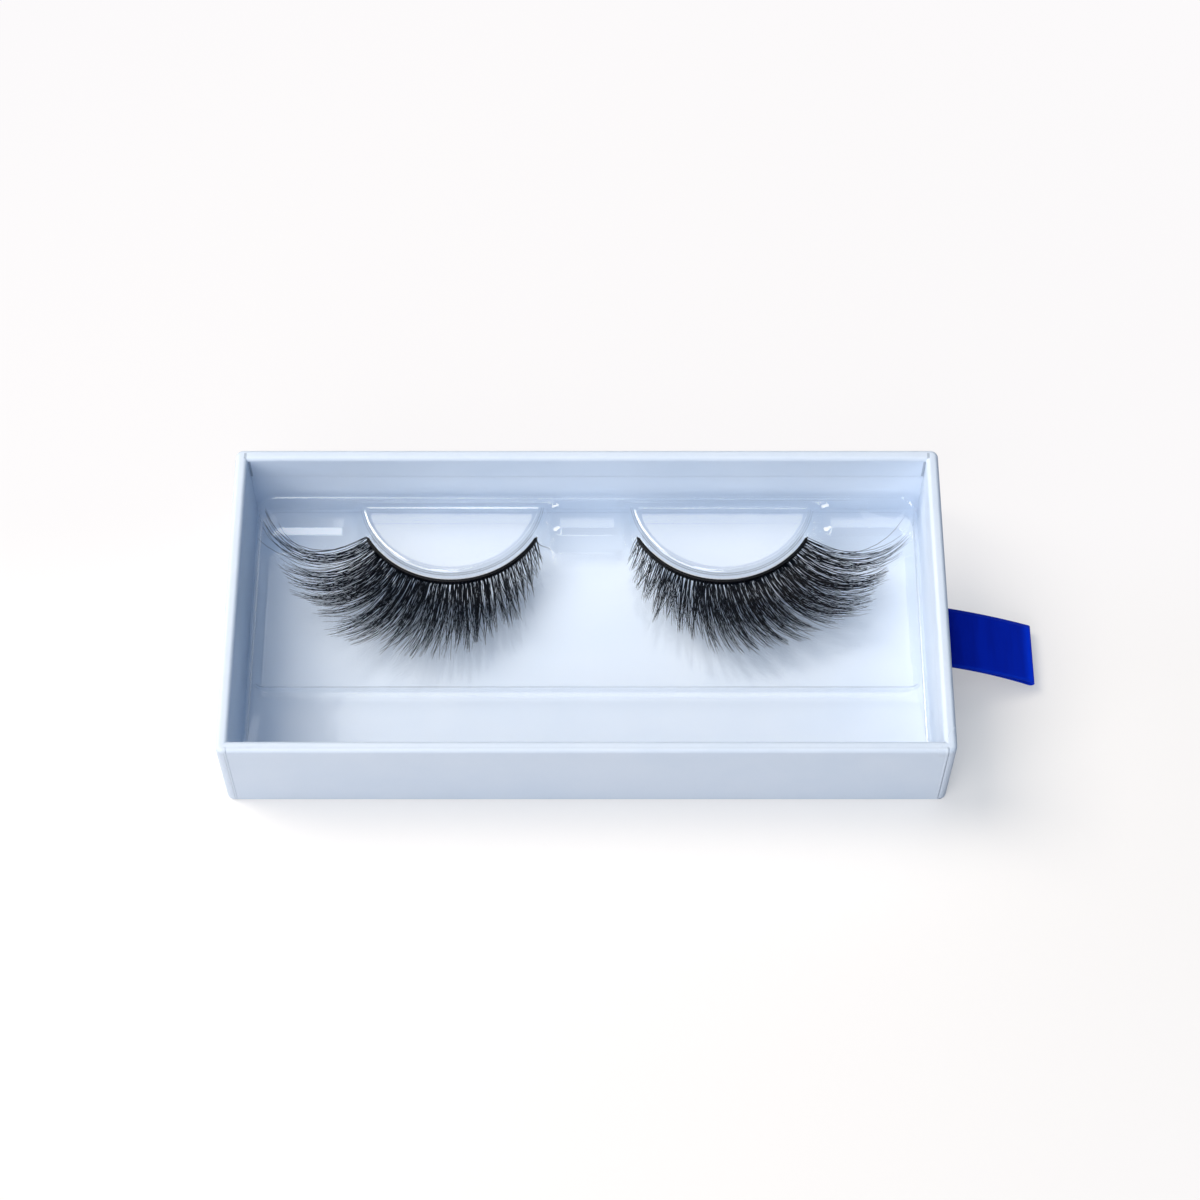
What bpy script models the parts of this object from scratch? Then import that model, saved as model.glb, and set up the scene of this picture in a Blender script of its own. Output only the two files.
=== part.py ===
"""Slide-out tray of a lash box: a paper-covered drawer with a ribbon pull and a clear formed insert.

A pair of strip lashes lies round two D-shaped pads on the insert.
The origin is the centre of the drawer's underside.
X runs along the drawer towards the ribbon, Y runs to the back and Z runs up.
"""
import math
import random

import bmesh
import bpy
from mathutils import Matrix, Vector

# Drawer
DRAWER_LENGTH = 0.110
DRAWER_WIDTH = 0.0525
DRAWER_HEIGHT = 0.017
CORNER_RADIUS = 0.0012
RIM_RADIUS = 0.0007
FOOT_RADIUS = 0.0004
BOARD_THICKNESS = 0.00135
BOARD_EDGE_RADIUS = 0.0003
PAPER_THICKNESS = 0.00015
GLUE_LINE = 0.00005
SEAT_GAP = 0.0003
TURN_IN = 0.005
LINING_LAP_GAP = 0.0002
STAY_THICKNESS = 0.0001
STAY_LEG = 0.012
STAY_HEIGHT_SHARE = 0.86
SMALLEST_RADIUS = 0.00008

# Ribbon pull
RIBBON_WIDTH = 0.0101
RIBBON_THICKNESS = 0.00022
RIBBON_REACH = 0.0146
RIBBON_DROOP = 0.0061
RIBBON_BEND_SHARE = 0.35
RIBBON_FOLD_RADIUS = 0.00045
RIBBON_ACROSS = -0.00225
RIBBON_HEIGHT = 0.0080
TAIL_LENGTH = 0.0046
TAIL_BEND_GAP = 0.00013
SLOT_CLEARANCE = 0.00028
HINGE_GAP = 0.0001

# Clear formed insert
SHEET_THICKNESS = 0.0003
INSERT_CLEARANCE = 0.0006
INSERT_CORNER_RADIUS = 0.0027
PLATEAU_HEIGHT = 0.0057
PAD_HEIGHT = 0.0063
OUTER_RADIUS = 0.0006
EDGE_RADIUS = 0.0005
FORM_RADIUS = 0.0007
FORM_DRAFT = 0.0003
END_RIM = 0.0012
REAR_RIM = 0.0012
LASH_ROOM = 0.01915
BLOCK_SETBACK = 0.000549
RECESS_CORNER_RADIUS = 0.0014
BLOCK_CORNER_RADIUS = 0.0011
NOTCH_SIDE_GAP = 0.0010
NOTCH_BACK_GAP = 0.00065
RIM_CUT_ANGLE = math.radians(102)

# D-shaped pads
PAD_SPACING = 0.0428
PAD_RADIUS = 0.0147
PAD_DEPTH = 0.0127
PAD_CORNER_RADIUS = 0.0005
PAD_DRAFT = 0.0004

# Lashes
BAND_THICKNESS = 0.00032
BAND_HEIGHT = 0.0009
BAND_DROP = 0.0015
BAND_HALF_ANGLE = math.radians(62)
TACK_THICKNESS = 0.00015
TACK_HALF_ANGLE = math.radians(48)
BACKING_THICKNESS = 0.00012
BACKING_HEIGHT = 0.0006
STRANDS_PER_LASH = 162
STRAND_RADIUS = 0.00012
STRAND_TIP_RADIUS = 0.00005
STRAND_NECK = 0.0006
LONGEST_STRAND = 0.0185
LENGTH_SPREAD_SHARE = 0.14
STRAND_RISE = math.radians(32)
ROW_SPLAY = math.radians(9)

# Where the strands of a lash point, from its inner corner to its outer corner
ROOT_ANGLES = tuple(math.radians(a) for a in (-22, -13, -3, 12, 34))
TIP_ANGLES = tuple(math.radians(a) for a in (-8, 0, 16, 62, 110))
LENGTH_SHARES = (0.2, 0.49, 0.75, 0.88, 1.0)
RISE_SHARES = (0.3, 0.4, 0.5, 0.75, 1.0)
RING_SHARES = (0.4, 0.72)
BEND_POWER = 1.6
PATH_STEPS = 6

# How finely round shapes are faceted
CORNER_STEPS = 4
FILLET_STEPS = 3
PAD_STEPS = 36
BAND_STEPS = 28
FOLD_STEPS = 6
LAYER_STEPS = 8
SHARP_ANGLE = math.radians(40)
CUT_OVERRUN = 0.001
NEAR_ZERO_SHARE = 0.01

# Sizes that follow from the ones above
STAY_ROOM = GLUE_LINE + STAY_THICKNESS + GLUE_LINE
BOARD_OUTSIDE = PAPER_THICKNESS + STAY_ROOM
BOARD_INSIDE = BOARD_OUTSIDE + BOARD_THICKNESS
LINING_OUTSIDE = BOARD_INSIDE + GLUE_LINE
WALL = LINING_OUTSIDE + PAPER_THICKNESS
BASE_TOP = PAPER_THICKNESS + GLUE_LINE + BOARD_THICKNESS
INNER_FLOOR = BASE_TOP + GLUE_LINE + PAPER_THICKNESS
INSERT_BOTTOM = INNER_FLOOR + SEAT_GAP
TAIL_INSIDE = BOARD_INSIDE - 2 * RIBBON_THICKNESS
INSERT_HALF_X = DRAWER_LENGTH / 2 - WALL - INSERT_CLEARANCE - FORM_DRAFT
INSERT_HALF_Y = DRAWER_WIDTH / 2 - WALL - INSERT_CLEARANCE - FORM_DRAFT
RECESS_FLOOR = INSERT_BOTTOM + SHEET_THICKNESS
PLATEAU_TOP = INSERT_BOTTOM + PLATEAU_HEIGHT
PAD_TOP = INSERT_BOTTOM + PAD_HEIGHT
NOTCH_BACK = INSERT_HALF_Y - REAR_RIM
PAD_BACK = NOTCH_BACK - NOTCH_BACK_GAP
PAD_FRONT = PAD_BACK - PAD_DEPTH
PAD_CENTRE_X = PAD_SPACING / 2
PAD_CENTRE_Y = PAD_FRONT + PAD_RADIUS
BAND_TOP = PAD_TOP - BAND_DROP
BAND_BOTTOM = BAND_TOP - BAND_HEIGHT
HINGE_X = DRAWER_LENGTH / 2 + HINGE_GAP + RIBBON_THICKNESS
COLLECTION = bpy.context.scene.collection


def clear_scene():
    """Remove every object, so that the script can run twice."""
    for old in list(bpy.data.objects):
        bpy.data.objects.remove(old, do_unlink=True)


def make_material(name, colour, roughness, metallic=0.0, alpha=1.0):
    """A plain finish in the colour that the piece has."""
    material = bpy.data.materials.new(name)
    material.use_nodes = True
    shader = material.node_tree.nodes["Principled BSDF"]
    shader.inputs["Base Color"].default_value = (*colour, 1.0)
    shader.inputs["Roughness"].default_value = roughness
    shader.inputs["Metallic"].default_value = metallic
    shader.inputs["Alpha"].default_value = alpha
    material.diffuse_color = (*colour, alpha)
    return material


def make_joint_empty(name, place, parent=None):
    """An empty that stands on a joint's axis and carries what the joint moves."""
    empty = bpy.data.objects.new(name, None)
    empty.empty_display_size = RIBBON_WIDTH
    COLLECTION.objects.link(empty)
    empty.parent = parent
    start = Vector(place)
    if parent is not None:
        start = start - parent.matrix_world.translation
    empty.location = start
    bpy.context.view_layer.update()
    return empty


def make_object(name, bm, material, carrier=None, cutter=False):
    """Turn a mesh drawn in the drawer's frame into a named piece under the empty that carries it."""
    bmesh.ops.recalc_face_normals(bm, faces=bm.faces)
    if carrier is not None:
        bm.transform(Matrix.Translation(-carrier.matrix_world.translation))
    mesh = bpy.data.meshes.new(name)
    bm.to_mesh(mesh)
    bm.free()
    piece = bpy.data.objects.new(name, mesh)
    COLLECTION.objects.link(piece)
    piece.parent = carrier
    if material is not None:
        mesh.materials.append(material)
    if cutter:
        piece.hide_render = True
        piece.display_type = "WIRE"
    else:
        mesh.shade_smooth()
        mesh.set_sharp_from_angle(angle=SHARP_ANGLE)
    return piece


def cut(piece, tool, operation="DIFFERENCE"):
    """Cut one piece with another, or join the other to it."""
    boolean = piece.modifiers.new(tool.name, "BOOLEAN")
    boolean.operation = operation
    boolean.solver = "EXACT"
    boolean.object = tool


def arc(centre, radius, start, end, steps):
    """Points on an arc in a plane, both ends included."""
    points = []
    for i in range(steps + 1):
        angle = start + (end - start) * i / steps
        reach = Vector((math.cos(angle), math.sin(angle))) * radius
        points.append(Vector(centre) + reach)
    return points


def rounded_outline(corners, radii, grow=0.0):
    """An outline with round corners, counter-clockwise, moved outwards by grow.

    The radius grows with the outline at an outer corner and shrinks at an inner one.
    """
    points = []
    count = len(corners)
    for i, corner in enumerate(corners):
        here = Vector(corner)
        into = (here - Vector(corners[i - 1])).normalized()
        out_of = (Vector(corners[(i + 1) % count]) - here).normalized()
        side_in = Vector((into.y, -into.x))
        side_out = Vector((out_of.y, -out_of.x))
        apex = here + (side_in + side_out) * grow / (1.0 + side_in.dot(side_out))
        turn = math.atan2(into.cross(out_of), into.dot(out_of))
        sign = 1.0 if turn > 0 else -1.0
        radius = max(radii[i] + sign * grow, SMALLEST_RADIUS)
        start = apex - into * radius * math.tan(abs(turn) / 2)
        centre = start - side_in * radius * sign
        first = math.atan2(start.y - centre.y, start.x - centre.x)
        points.extend(arc(centre, radius, first, first + turn, CORNER_STEPS))
    return points


def rectangle(half_x, half_y):
    """The corners of a rectangle about the drawer's centre."""
    return [(-half_x, -half_y), (half_x, -half_y), (half_x, half_y), (-half_x, half_y)]


def drawer_outline(offset):
    """The drawer's outline in plan, moved outwards by an offset."""
    corners = rectangle(DRAWER_LENGTH / 2, DRAWER_WIDTH / 2)
    return rounded_outline(corners, [CORNER_RADIUS] * len(corners), offset)


def loft(rings):
    """Draw a ring of points out through the other rings, one after another, and cap both ends."""
    bm = bmesh.new()
    ring = [bm.verts.new(point) for point in rings[0]]
    edges = [bm.edges.new((ring[i - 1], ring[i])) for i in range(len(ring))]
    bmesh.ops.contextual_create(bm, geom=edges)
    for points in rings[1:]:
        made = bmesh.ops.extrude_edge_only(bm, edges=edges)["geom"]
        places = {vert: point for vert, point in zip(ring, points)}
        followers = {}
        for vert in (item for item in made if isinstance(item, bmesh.types.BMVert)):
            source = next(e.other_vert(vert) for e in vert.link_edges if e.other_vert(vert) in places)
            followers[source] = vert
        for source, point in places.items():
            followers[source].co = point
        ring = [followers[source] for source in ring]
        edges = [item for item in made if isinstance(item, bmesh.types.BMEdge)]
    bmesh.ops.contextual_create(bm, geom=edges)
    return bm


def stack(outline, profile):
    """Rings for a loft from an outline that takes an offset and a list of offsets and heights."""
    return [[(p.x, p.y, z) for p in outline(offset)] for offset, z in profile]


def extrude_outline(points, depth, to_world):
    """Extrude a flat outline and put it in place with a matrix."""
    bm = bmesh.new()
    face = bm.faces.new([bm.verts.new((p[0], p[1], 0.0)) for p in points])
    made = bmesh.ops.extrude_face_region(bm, geom=[face], use_keep_orig=True)
    moved = [item for item in made["geom"] if isinstance(item, bmesh.types.BMVert)]
    bmesh.ops.translate(bm, verts=moved, vec=(0.0, 0.0, depth))
    bm.transform(to_world)
    return bm


def box(low, high):
    """A closed box between two corners."""
    bm = bmesh.new()
    bmesh.ops.create_cube(bm, size=1.0)
    size = Vector(high) - Vector(low)
    centre = (Vector(high) + Vector(low)) / 2
    bm.transform(Matrix.Translation(centre) @ Matrix.Diagonal((*size, 1.0)))
    return bm


def is_level(*parts):
    """Whether a unit direction has nothing along the given parts."""
    return max(abs(part) for part in parts) < NEAR_ZERO_SHARE


def round_edges(bm, radius, pick):
    """Round the edges that the pick function accepts by their direction and their middle."""
    chosen = []
    for edge in bm.edges:
        along = (edge.verts[1].co - edge.verts[0].co).normalized()
        middle = (edge.verts[1].co + edge.verts[0].co) / 2
        if pick(along, middle):
            chosen.append(edge)
    bmesh.ops.bevel(
        bm,
        geom=chosen,
        offset=radius,
        segments=CORNER_STEPS,
        profile=0.5,
        affect="EDGES",
        clamp_overlap=True,
    )


def make_slot_cutter():
    """The slit through the covering paper and the right board that the ribbon passes through."""
    half_width = RIBBON_WIDTH / 2 + SLOT_CLEARANCE
    half_height = RIBBON_THICKNESS + SLOT_CLEARANCE
    outside = DRAWER_LENGTH / 2
    low = (outside - WALL, RIBBON_ACROSS - half_width, RIBBON_HEIGHT - half_height)
    high = (outside + CUT_OVERRUN, RIBBON_ACROSS + half_width, RIBBON_HEIGHT + half_height)
    return make_object("slot_cutter", box(low, high), None, cutter=True)


def make_pocket_cutter():
    """The hollow in the inner face of the right board where the ribbon's ends are glued down."""
    half_width = RIBBON_WIDTH / 2 + SLOT_CLEARANCE
    face = DRAWER_LENGTH / 2 - TAIL_INSIDE + GLUE_LINE
    bottom = RIBBON_HEIGHT - TAIL_LENGTH - SLOT_CLEARANCE
    low = (DRAWER_LENGTH / 2 - WALL, RIBBON_ACROSS - half_width, bottom)
    high = (face, RIBBON_ACROSS + half_width, RIBBON_HEIGHT)
    return make_object("pocket_cutter", box(low, high), None, cutter=True)


def make_boards(material, slot):
    """The greyboard base and the four walls that stand round it, with their top edges pressed round."""
    half_x = DRAWER_LENGTH / 2
    half_y = DRAWER_WIDTH / 2
    low = PAPER_THICKNESS + GLUE_LINE
    high = DRAWER_HEIGHT - BOARD_OUTSIDE
    middle_z = (low + high) / 2
    base_x = half_x - BOARD_INSIDE - GLUE_LINE
    base_y = half_y - BOARD_INSIDE - GLUE_LINE
    make_object("board_base", box((-base_x, -base_y, low), (base_x, base_y, BASE_TOP)), material)

    corner = CORNER_RADIUS - BOARD_OUTSIDE
    for name, side in (("board_front", -1), ("board_back", 1)):
        outer = side * (half_y - BOARD_OUTSIDE)
        inner = side * (half_y - BOARD_INSIDE)
        middle_y = (outer + inner) / 2
        long_x = half_x - BOARD_OUTSIDE
        bm = box((-long_x, min(outer, inner), low), (long_x, max(outer, inner), high))
        round_edges(bm, corner, lambda d, p, s=side, m=middle_y: is_level(d.x, d.y) and (p.y - m) * s > 0)
        round_edges(bm, BOARD_EDGE_RADIUS, lambda d, p, m=middle_z: is_level(d.z) and p.z > m)
        make_object(name, bm, material)

    for name, side in (("board_left", -1), ("board_right", 1)):
        outer = side * (half_x - BOARD_OUTSIDE)
        inner = side * (half_x - BOARD_INSIDE)
        short_y = half_y - BOARD_INSIDE - GLUE_LINE
        bm = box((min(outer, inner), -short_y, low), (max(outer, inner), short_y, high))
        round_edges(bm, BOARD_EDGE_RADIUS, lambda d, p, m=middle_z: is_level(d.x, d.z) and p.z > m)
        wall = make_object(name, bm, material)
        if side > 0:
            cut(wall, slot)
            cut(wall, make_pocket_cutter())


def make_corner_stays(material):
    """Paper tape round each upright corner, between the boards and the covering paper."""
    outer = PAPER_THICKNESS + GLUE_LINE
    inner = outer + STAY_THICKNESS
    height = DRAWER_HEIGHT * STAY_HEIGHT_SHARE
    low = (DRAWER_HEIGHT - height) / 2
    for name, side_x, side_y in (
        ("corner_stay_front_left", -1, -1),
        ("corner_stay_front_right", 1, -1),
        ("corner_stay_back_right", 1, 1),
        ("corner_stay_back_left", -1, 1),
    ):
        centre = (DRAWER_LENGTH / 2 - CORNER_RADIUS, DRAWER_WIDTH / 2 - CORNER_RADIUS)
        outline = []
        for inset in (outer, inner):
            radius = CORNER_RADIUS - inset
            run = [(DRAWER_LENGTH / 2 - STAY_LEG, DRAWER_WIDTH / 2 - inset)]
            run += [tuple(p) for p in arc(centre, radius, math.pi / 2, 0.0, CORNER_STEPS)]
            run += [(DRAWER_LENGTH / 2 - inset, DRAWER_WIDTH / 2 - STAY_LEG)]
            outline += run if inset == outer else run[::-1]
        placed = [(x * side_x, y * side_y) for x, y in outline]
        upright = extrude_outline(placed, height, Matrix.Translation((0.0, 0.0, low)))
        make_object(name, upright, material)


def make_wrap_paper(material, slot):
    """The covering paper: under the base, up the walls, over the rims and turned in."""
    profile = []
    for layer in (0.0, PAPER_THICKNESS):
        foot = arc((FOOT_RADIUS, FOOT_RADIUS), FOOT_RADIUS - layer, -math.pi / 2, -math.pi, FILLET_STEPS)
        top = DRAWER_HEIGHT - RIM_RADIUS
        outer_rim = arc((RIM_RADIUS, top), RIM_RADIUS - layer, math.pi, math.pi / 2, FILLET_STEPS)
        inner_rim = arc((WALL - RIM_RADIUS, top), RIM_RADIUS - layer, math.pi / 2, 0.0, FILLET_STEPS)
        edge = [Vector((WALL - layer, DRAWER_HEIGHT - TURN_IN))]
        run = foot + outer_rim + inner_rim + edge
        profile += run if layer == 0.0 else run[::-1]
    rings = stack(drawer_outline, [(-p.x, p.y) for p in profile])
    wrap = make_object("wrap_paper", loft(rings), material)
    cut(wrap, slot)


def make_lining_paper(material):
    """The lining paper: over the base and up inside the walls to just under the turned-in edge."""
    top = DRAWER_HEIGHT - TURN_IN - LINING_LAP_GAP
    floor = INNER_FLOOR - PAPER_THICKNESS
    profile = [(LINING_OUTSIDE, floor), (LINING_OUTSIDE, top), (WALL, top), (WALL, INNER_FLOOR)]
    rings = stack(drawer_outline, [(-depth, z) for depth, z in profile])
    make_object("lining_paper", loft(rings), material)


def insert_outline(offset):
    """The insert's outline in plan at its top edge, moved outwards by an offset."""
    corners = rectangle(INSERT_HALF_X, INSERT_HALF_Y)
    return rounded_outline(corners, [INSERT_CORNER_RADIUS] * len(corners), offset)


def recess_outline(offset):
    """The recess in plan: the open floor and a notch round each pad, moved outwards by an offset."""
    end_x = INSERT_HALF_X - END_RIM
    front_y = PAD_FRONT - LASH_ROOM
    block_y = PAD_CENTRE_Y - PAD_RADIUS * math.cos(BAND_HALF_ANGLE) - BLOCK_SETBACK
    notch_half = PAD_RADIUS + NOTCH_SIDE_GAP
    outer = PAD_CENTRE_X + notch_half
    inner = PAD_CENTRE_X - notch_half
    notch = [(outer, block_y), (outer, NOTCH_BACK), (inner, NOTCH_BACK), (inner, block_y)]
    right_side = [(end_x, block_y)] + notch
    left_side = [(-x, y) for x, y in reversed(right_side)]
    corners = [(-end_x, front_y), (end_x, front_y)] + right_side + left_side
    wide, block = RECESS_CORNER_RADIUS, BLOCK_CORNER_RADIUS
    one_side = [wide, block, wide, wide, block]
    return rounded_outline(corners, [wide, wide] + one_side + one_side[::-1], offset)


def pad_outline(side):
    """A function of an offset that gives a pad in plan: a circle cut flat at the back."""
    centre_x = side * PAD_CENTRE_X

    def outline(offset):
        radius = PAD_RADIUS + offset
        small = max(PAD_CORNER_RADIUS + offset, SMALLEST_RADIUS)
        rise = PAD_BACK + offset - small - PAD_CENTRE_Y
        reach = math.sqrt((radius - small) ** 2 - rise ** 2)
        tangent = math.atan2(rise, reach)
        front = arc((centre_x, PAD_CENTRE_Y), radius, -math.pi - tangent, tangent, PAD_STEPS)
        corner_y = PAD_CENTRE_Y + rise
        right = arc((centre_x + reach, corner_y), small, tangent, math.pi / 2, FILLET_STEPS)
        left = arc((centre_x - reach, corner_y), small, math.pi / 2, math.pi - tangent, FILLET_STEPS)
        return front + right[1:] + left[:-1]

    return outline


def rim_arc(offset, height, radius, inner_radius, hollow):
    """Offsets and heights over a round top edge. A hollow's edge is cut a little before it is level."""
    level = height - radius
    if hollow:
        points = arc((offset + radius, level), inner_radius, math.pi, RIM_CUT_ANGLE, FILLET_STEPS)
    else:
        points = arc((offset - radius, level), inner_radius, 0.0, math.pi / 2, FILLET_STEPS)
    return [(p.x, p.y) for p in points]


def make_cutter(name, outline, profile, carrier):
    """A hidden form, lofted from an outline and a list of offsets and heights."""
    return make_object(name, loft(stack(outline, profile)), None, carrier, cutter=True)


def make_insert(material, carrier):
    """The clear insert: a sheet formed over blocks, a ledge and two pads, open underneath."""
    sheet = SHEET_THICKNESS
    below = INSERT_BOTTOM - CUT_OVERRUN
    above = PLATEAU_TOP + CUT_OVERRUN

    outside = [(FORM_DRAFT, INSERT_BOTTOM)]
    outside += rim_arc(0.0, PLATEAU_TOP, OUTER_RADIUS, OUTER_RADIUS, False)
    insert = make_object("insert_tray", loft(stack(insert_outline, outside)), material, carrier)

    foot = (-FORM_DRAFT - FORM_RADIUS, RECESS_FLOOR + FORM_RADIUS)
    hollow = [(p.x, p.y) for p in arc(foot, FORM_RADIUS, -math.pi / 2, 0.0, FILLET_STEPS)]
    hollow += rim_arc(0.0, PLATEAU_TOP, EDGE_RADIUS, EDGE_RADIUS, True)
    hollow.append((hollow[-1][0], above))
    cut(insert, make_cutter("recess_cutter", recess_outline, hollow, carrier))

    for name, side in (("left", -1), ("right", 1)):
        raised = [(PAD_DRAFT, INSERT_BOTTOM + sheet / 2)]
        raised += rim_arc(0.0, PAD_TOP, FORM_RADIUS, FORM_RADIUS, False)
        cut(insert, make_cutter(f"{name}_pad_form", pad_outline(side), raised, carrier), "UNION")

    inside = [(FORM_DRAFT - sheet, below)]
    inside += rim_arc(0.0, PLATEAU_TOP, OUTER_RADIUS, OUTER_RADIUS - sheet, False)
    plug = make_cutter("plateau_plug", insert_outline, inside, carrier)
    kept = [(sheet - FORM_DRAFT, below - CUT_OVERRUN)]
    kept += rim_arc(0.0, PLATEAU_TOP, EDGE_RADIUS, EDGE_RADIUS - sheet, True)
    kept.append((kept[-1][0], above))
    cut(plug, make_cutter("recess_keeper", recess_outline, kept, carrier))
    cut(insert, plug)

    for name, side in (("left", -1), ("right", 1)):
        under = [(PAD_DRAFT - sheet, below)]
        under += rim_arc(0.0, PAD_TOP, FORM_RADIUS, FORM_RADIUS - sheet, False)
        cut(insert, make_cutter(f"{name}_pad_plug", pad_outline(side), under, carrier))


def pad_wall_radius(height):
    """The radius of a pad's sloping wall at a height."""
    top = PAD_TOP - FORM_RADIUS
    bottom = INSERT_BOTTOM + SHEET_THICKNESS / 2
    return PAD_RADIUS + PAD_DRAFT * (top - height) / (top - bottom)


def strip_round_pad(side, inner, thickness, low, high, half_angle):
    """A strip of rectangular section that follows the front of a pad."""
    bm = bmesh.new()
    centre = Vector((side * PAD_CENTRE_X, PAD_CENTRE_Y, 0.0))
    start = Vector((math.sin(-half_angle), -math.cos(half_angle), 0.0))
    outer = inner + thickness
    section = []
    for radius, height in ((inner, low), (outer, low), (outer, high), (inner, high)):
        section.append(bm.verts.new(centre + start * radius + Vector((0.0, 0.0, height))))
    face = bm.faces.new(section)
    bmesh.ops.spin(
        bm,
        geom=[face],
        cent=centre,
        axis=(0.0, 0.0, 1.0),
        angle=2 * half_angle,
        steps=BAND_STEPS,
        use_merge=False,
        use_duplicate=False,
    )
    return bm


def mix_stations(values, share):
    """A value between the stations of a table, at a share of the lash from its inner corner."""
    place = share * (len(values) - 1)
    first = min(int(place), len(values) - 2)
    return values[first] + (values[first + 1] - values[first]) * (place - first)


def strand_path(side, root, share, upper, length):
    """Points and directions along a strand, bending towards the outer corner and curling up."""
    first = mix_stations(ROOT_ANGLES, share)
    last = mix_stations(TIP_ANGLES, share)
    splay = ROW_SPLAY / 2 if upper else -ROW_SPLAY / 2
    rise = STRAND_RISE * mix_stations(RISE_SHARES, share)
    neck = STRAND_NECK / length
    place = Vector(root)
    done = 0.0
    stations = []
    for share_along in (neck, *RING_SHARES, 1.0):
        for _ in range(PATH_STEPS):
            step = (share_along - done) / PATH_STEPS
            here = done + step / 2
            plan = first + (last - first) * (1.0 - (1.0 - here) ** BEND_POWER)
            climb = splay + rise * here
            heading = Vector((side * math.sin(plan), -math.cos(plan), 0.0))
            direction = heading * math.cos(climb) + Vector((0.0, 0.0, math.sin(climb)))
            place = place + direction * step * length
            done += step
        stations.append((place.copy(), direction.copy()))
    return stations


def section_axes(direction):
    """Two directions across a strand: level and upwards."""
    level = direction.cross(Vector((0.0, 0.0, 1.0))).normalized()
    return level, level.cross(direction)


def grow_strand(bm, face, side, share, upper, length):
    """Draw one strand out of a face of the backing, ring by ring, to a point."""
    root = face.calc_center_median()
    centre = Vector((side * PAD_CENTRE_X, PAD_CENTRE_Y, root.z))
    level, upwards = section_axes((root - centre).normalized())
    spread = [(v.co - root) for v in face.verts]
    shape = [Vector((d.dot(level), d.dot(upwards))) for d in spread]
    widest = max(d.length for d in shape)
    stations = strand_path(side, root, share, upper, length)
    for i, (place, direction) in enumerate(stations[:-1]):
        radius = STRAND_RADIUS + (STRAND_TIP_RADIUS - STRAND_RADIUS) * i / (len(stations) - 1)
        face = bmesh.ops.extrude_discrete_faces(bm, faces=[face])["faces"][0]
        level, upwards = section_axes(direction)
        for vert, point in zip(face.verts, shape):
            across = point * radius / widest
            vert.co = place + level * across.x + upwards * across.y
    tip = bmesh.ops.extrude_discrete_faces(bm, faces=[face])["faces"][0]
    bmesh.ops.pointmerge(bm, verts=list(tip.verts), merge_co=stations[-1][0])


def make_strands(name, side, inner, material, carrier):
    """The strands of a lash, each drawn out of a triangle of the backing that it is knotted to."""
    rng = random.Random(name)
    bm = bmesh.new()
    outer = inner + BACKING_THICKNESS
    middle = (BAND_TOP + BAND_BOTTOM) / 2
    points = []
    for k in range(STRANDS_PER_LASH + 2):
        angle = BAND_HALF_ANGLE * (2 * k / (STRANDS_PER_LASH + 1) - 1)
        height = middle + BACKING_HEIGHT / 2 * (1 if k % 2 else -1)
        x = side * (PAD_CENTRE_X + outer * math.sin(angle))
        points.append(bm.verts.new((x, PAD_CENTRE_Y - outer * math.cos(angle), height)))
    faces = [bm.faces.new(points[k : k + 3]) for k in range(STRANDS_PER_LASH)]
    made = bmesh.ops.extrude_face_region(bm, geom=faces, use_keep_orig=True)
    for item in made["geom"]:
        if isinstance(item, bmesh.types.BMVert):
            away = Vector((item.co.x - side * PAD_CENTRE_X, item.co.y - PAD_CENTRE_Y, 0.0))
            item.co -= away.normalized() * BACKING_THICKNESS
    for k, face in enumerate(faces):
        share = (k + 0.5) / STRANDS_PER_LASH
        spread = 1.0 - LENGTH_SPREAD_SHARE * rng.random()
        length = LONGEST_STRAND * mix_stations(LENGTH_SHARES, share) * spread
        grow_strand(bm, face, side, share, k % 2 == 1, length)
    return make_object(name, bm, material, carrier)


def make_lash(name, side, hair, cotton, glue, insert_carrier, lash_carrier):
    """One strip lash: the tack that holds it to its pad, the band and the strands on their backing."""
    radius = pad_wall_radius(BAND_BOTTOM) + GLUE_LINE
    tack = strip_round_pad(side, radius, TACK_THICKNESS, BAND_BOTTOM, BAND_TOP, TACK_HALF_ANGLE)
    make_object(f"tack_strip_{name}", tack, glue, insert_carrier)
    radius += TACK_THICKNESS + GLUE_LINE
    band = strip_round_pad(side, radius, BAND_THICKNESS, BAND_BOTTOM, BAND_TOP, BAND_HALF_ANGLE)
    make_object(f"lash_band_{name}", band, cotton, lash_carrier)
    radius += BAND_THICKNESS + GLUE_LINE
    make_strands(f"lash_fibres_{name}", side, radius, hair, lash_carrier)


def thick_line(points, thickness):
    """The outline of a strip that follows a line of points."""
    left, right = [], []
    for i, point in enumerate(points):
        along = (points[min(i + 1, len(points) - 1)] - points[max(i - 1, 0)]).normalized()
        across = Vector((-along.y, along.x)) * thickness / 2
        left.append(point + across)
        right.append(point - across)
    return left + right[::-1]


def upright_across():
    """The matrix that stands a flat outline in X and Z and runs it along the ribbon's width."""
    place = Matrix.Translation((0.0, RIBBON_ACROSS + RIBBON_WIDTH / 2, 0.0))
    return place @ Matrix.Rotation(math.pi / 2, 4, "X")


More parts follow.
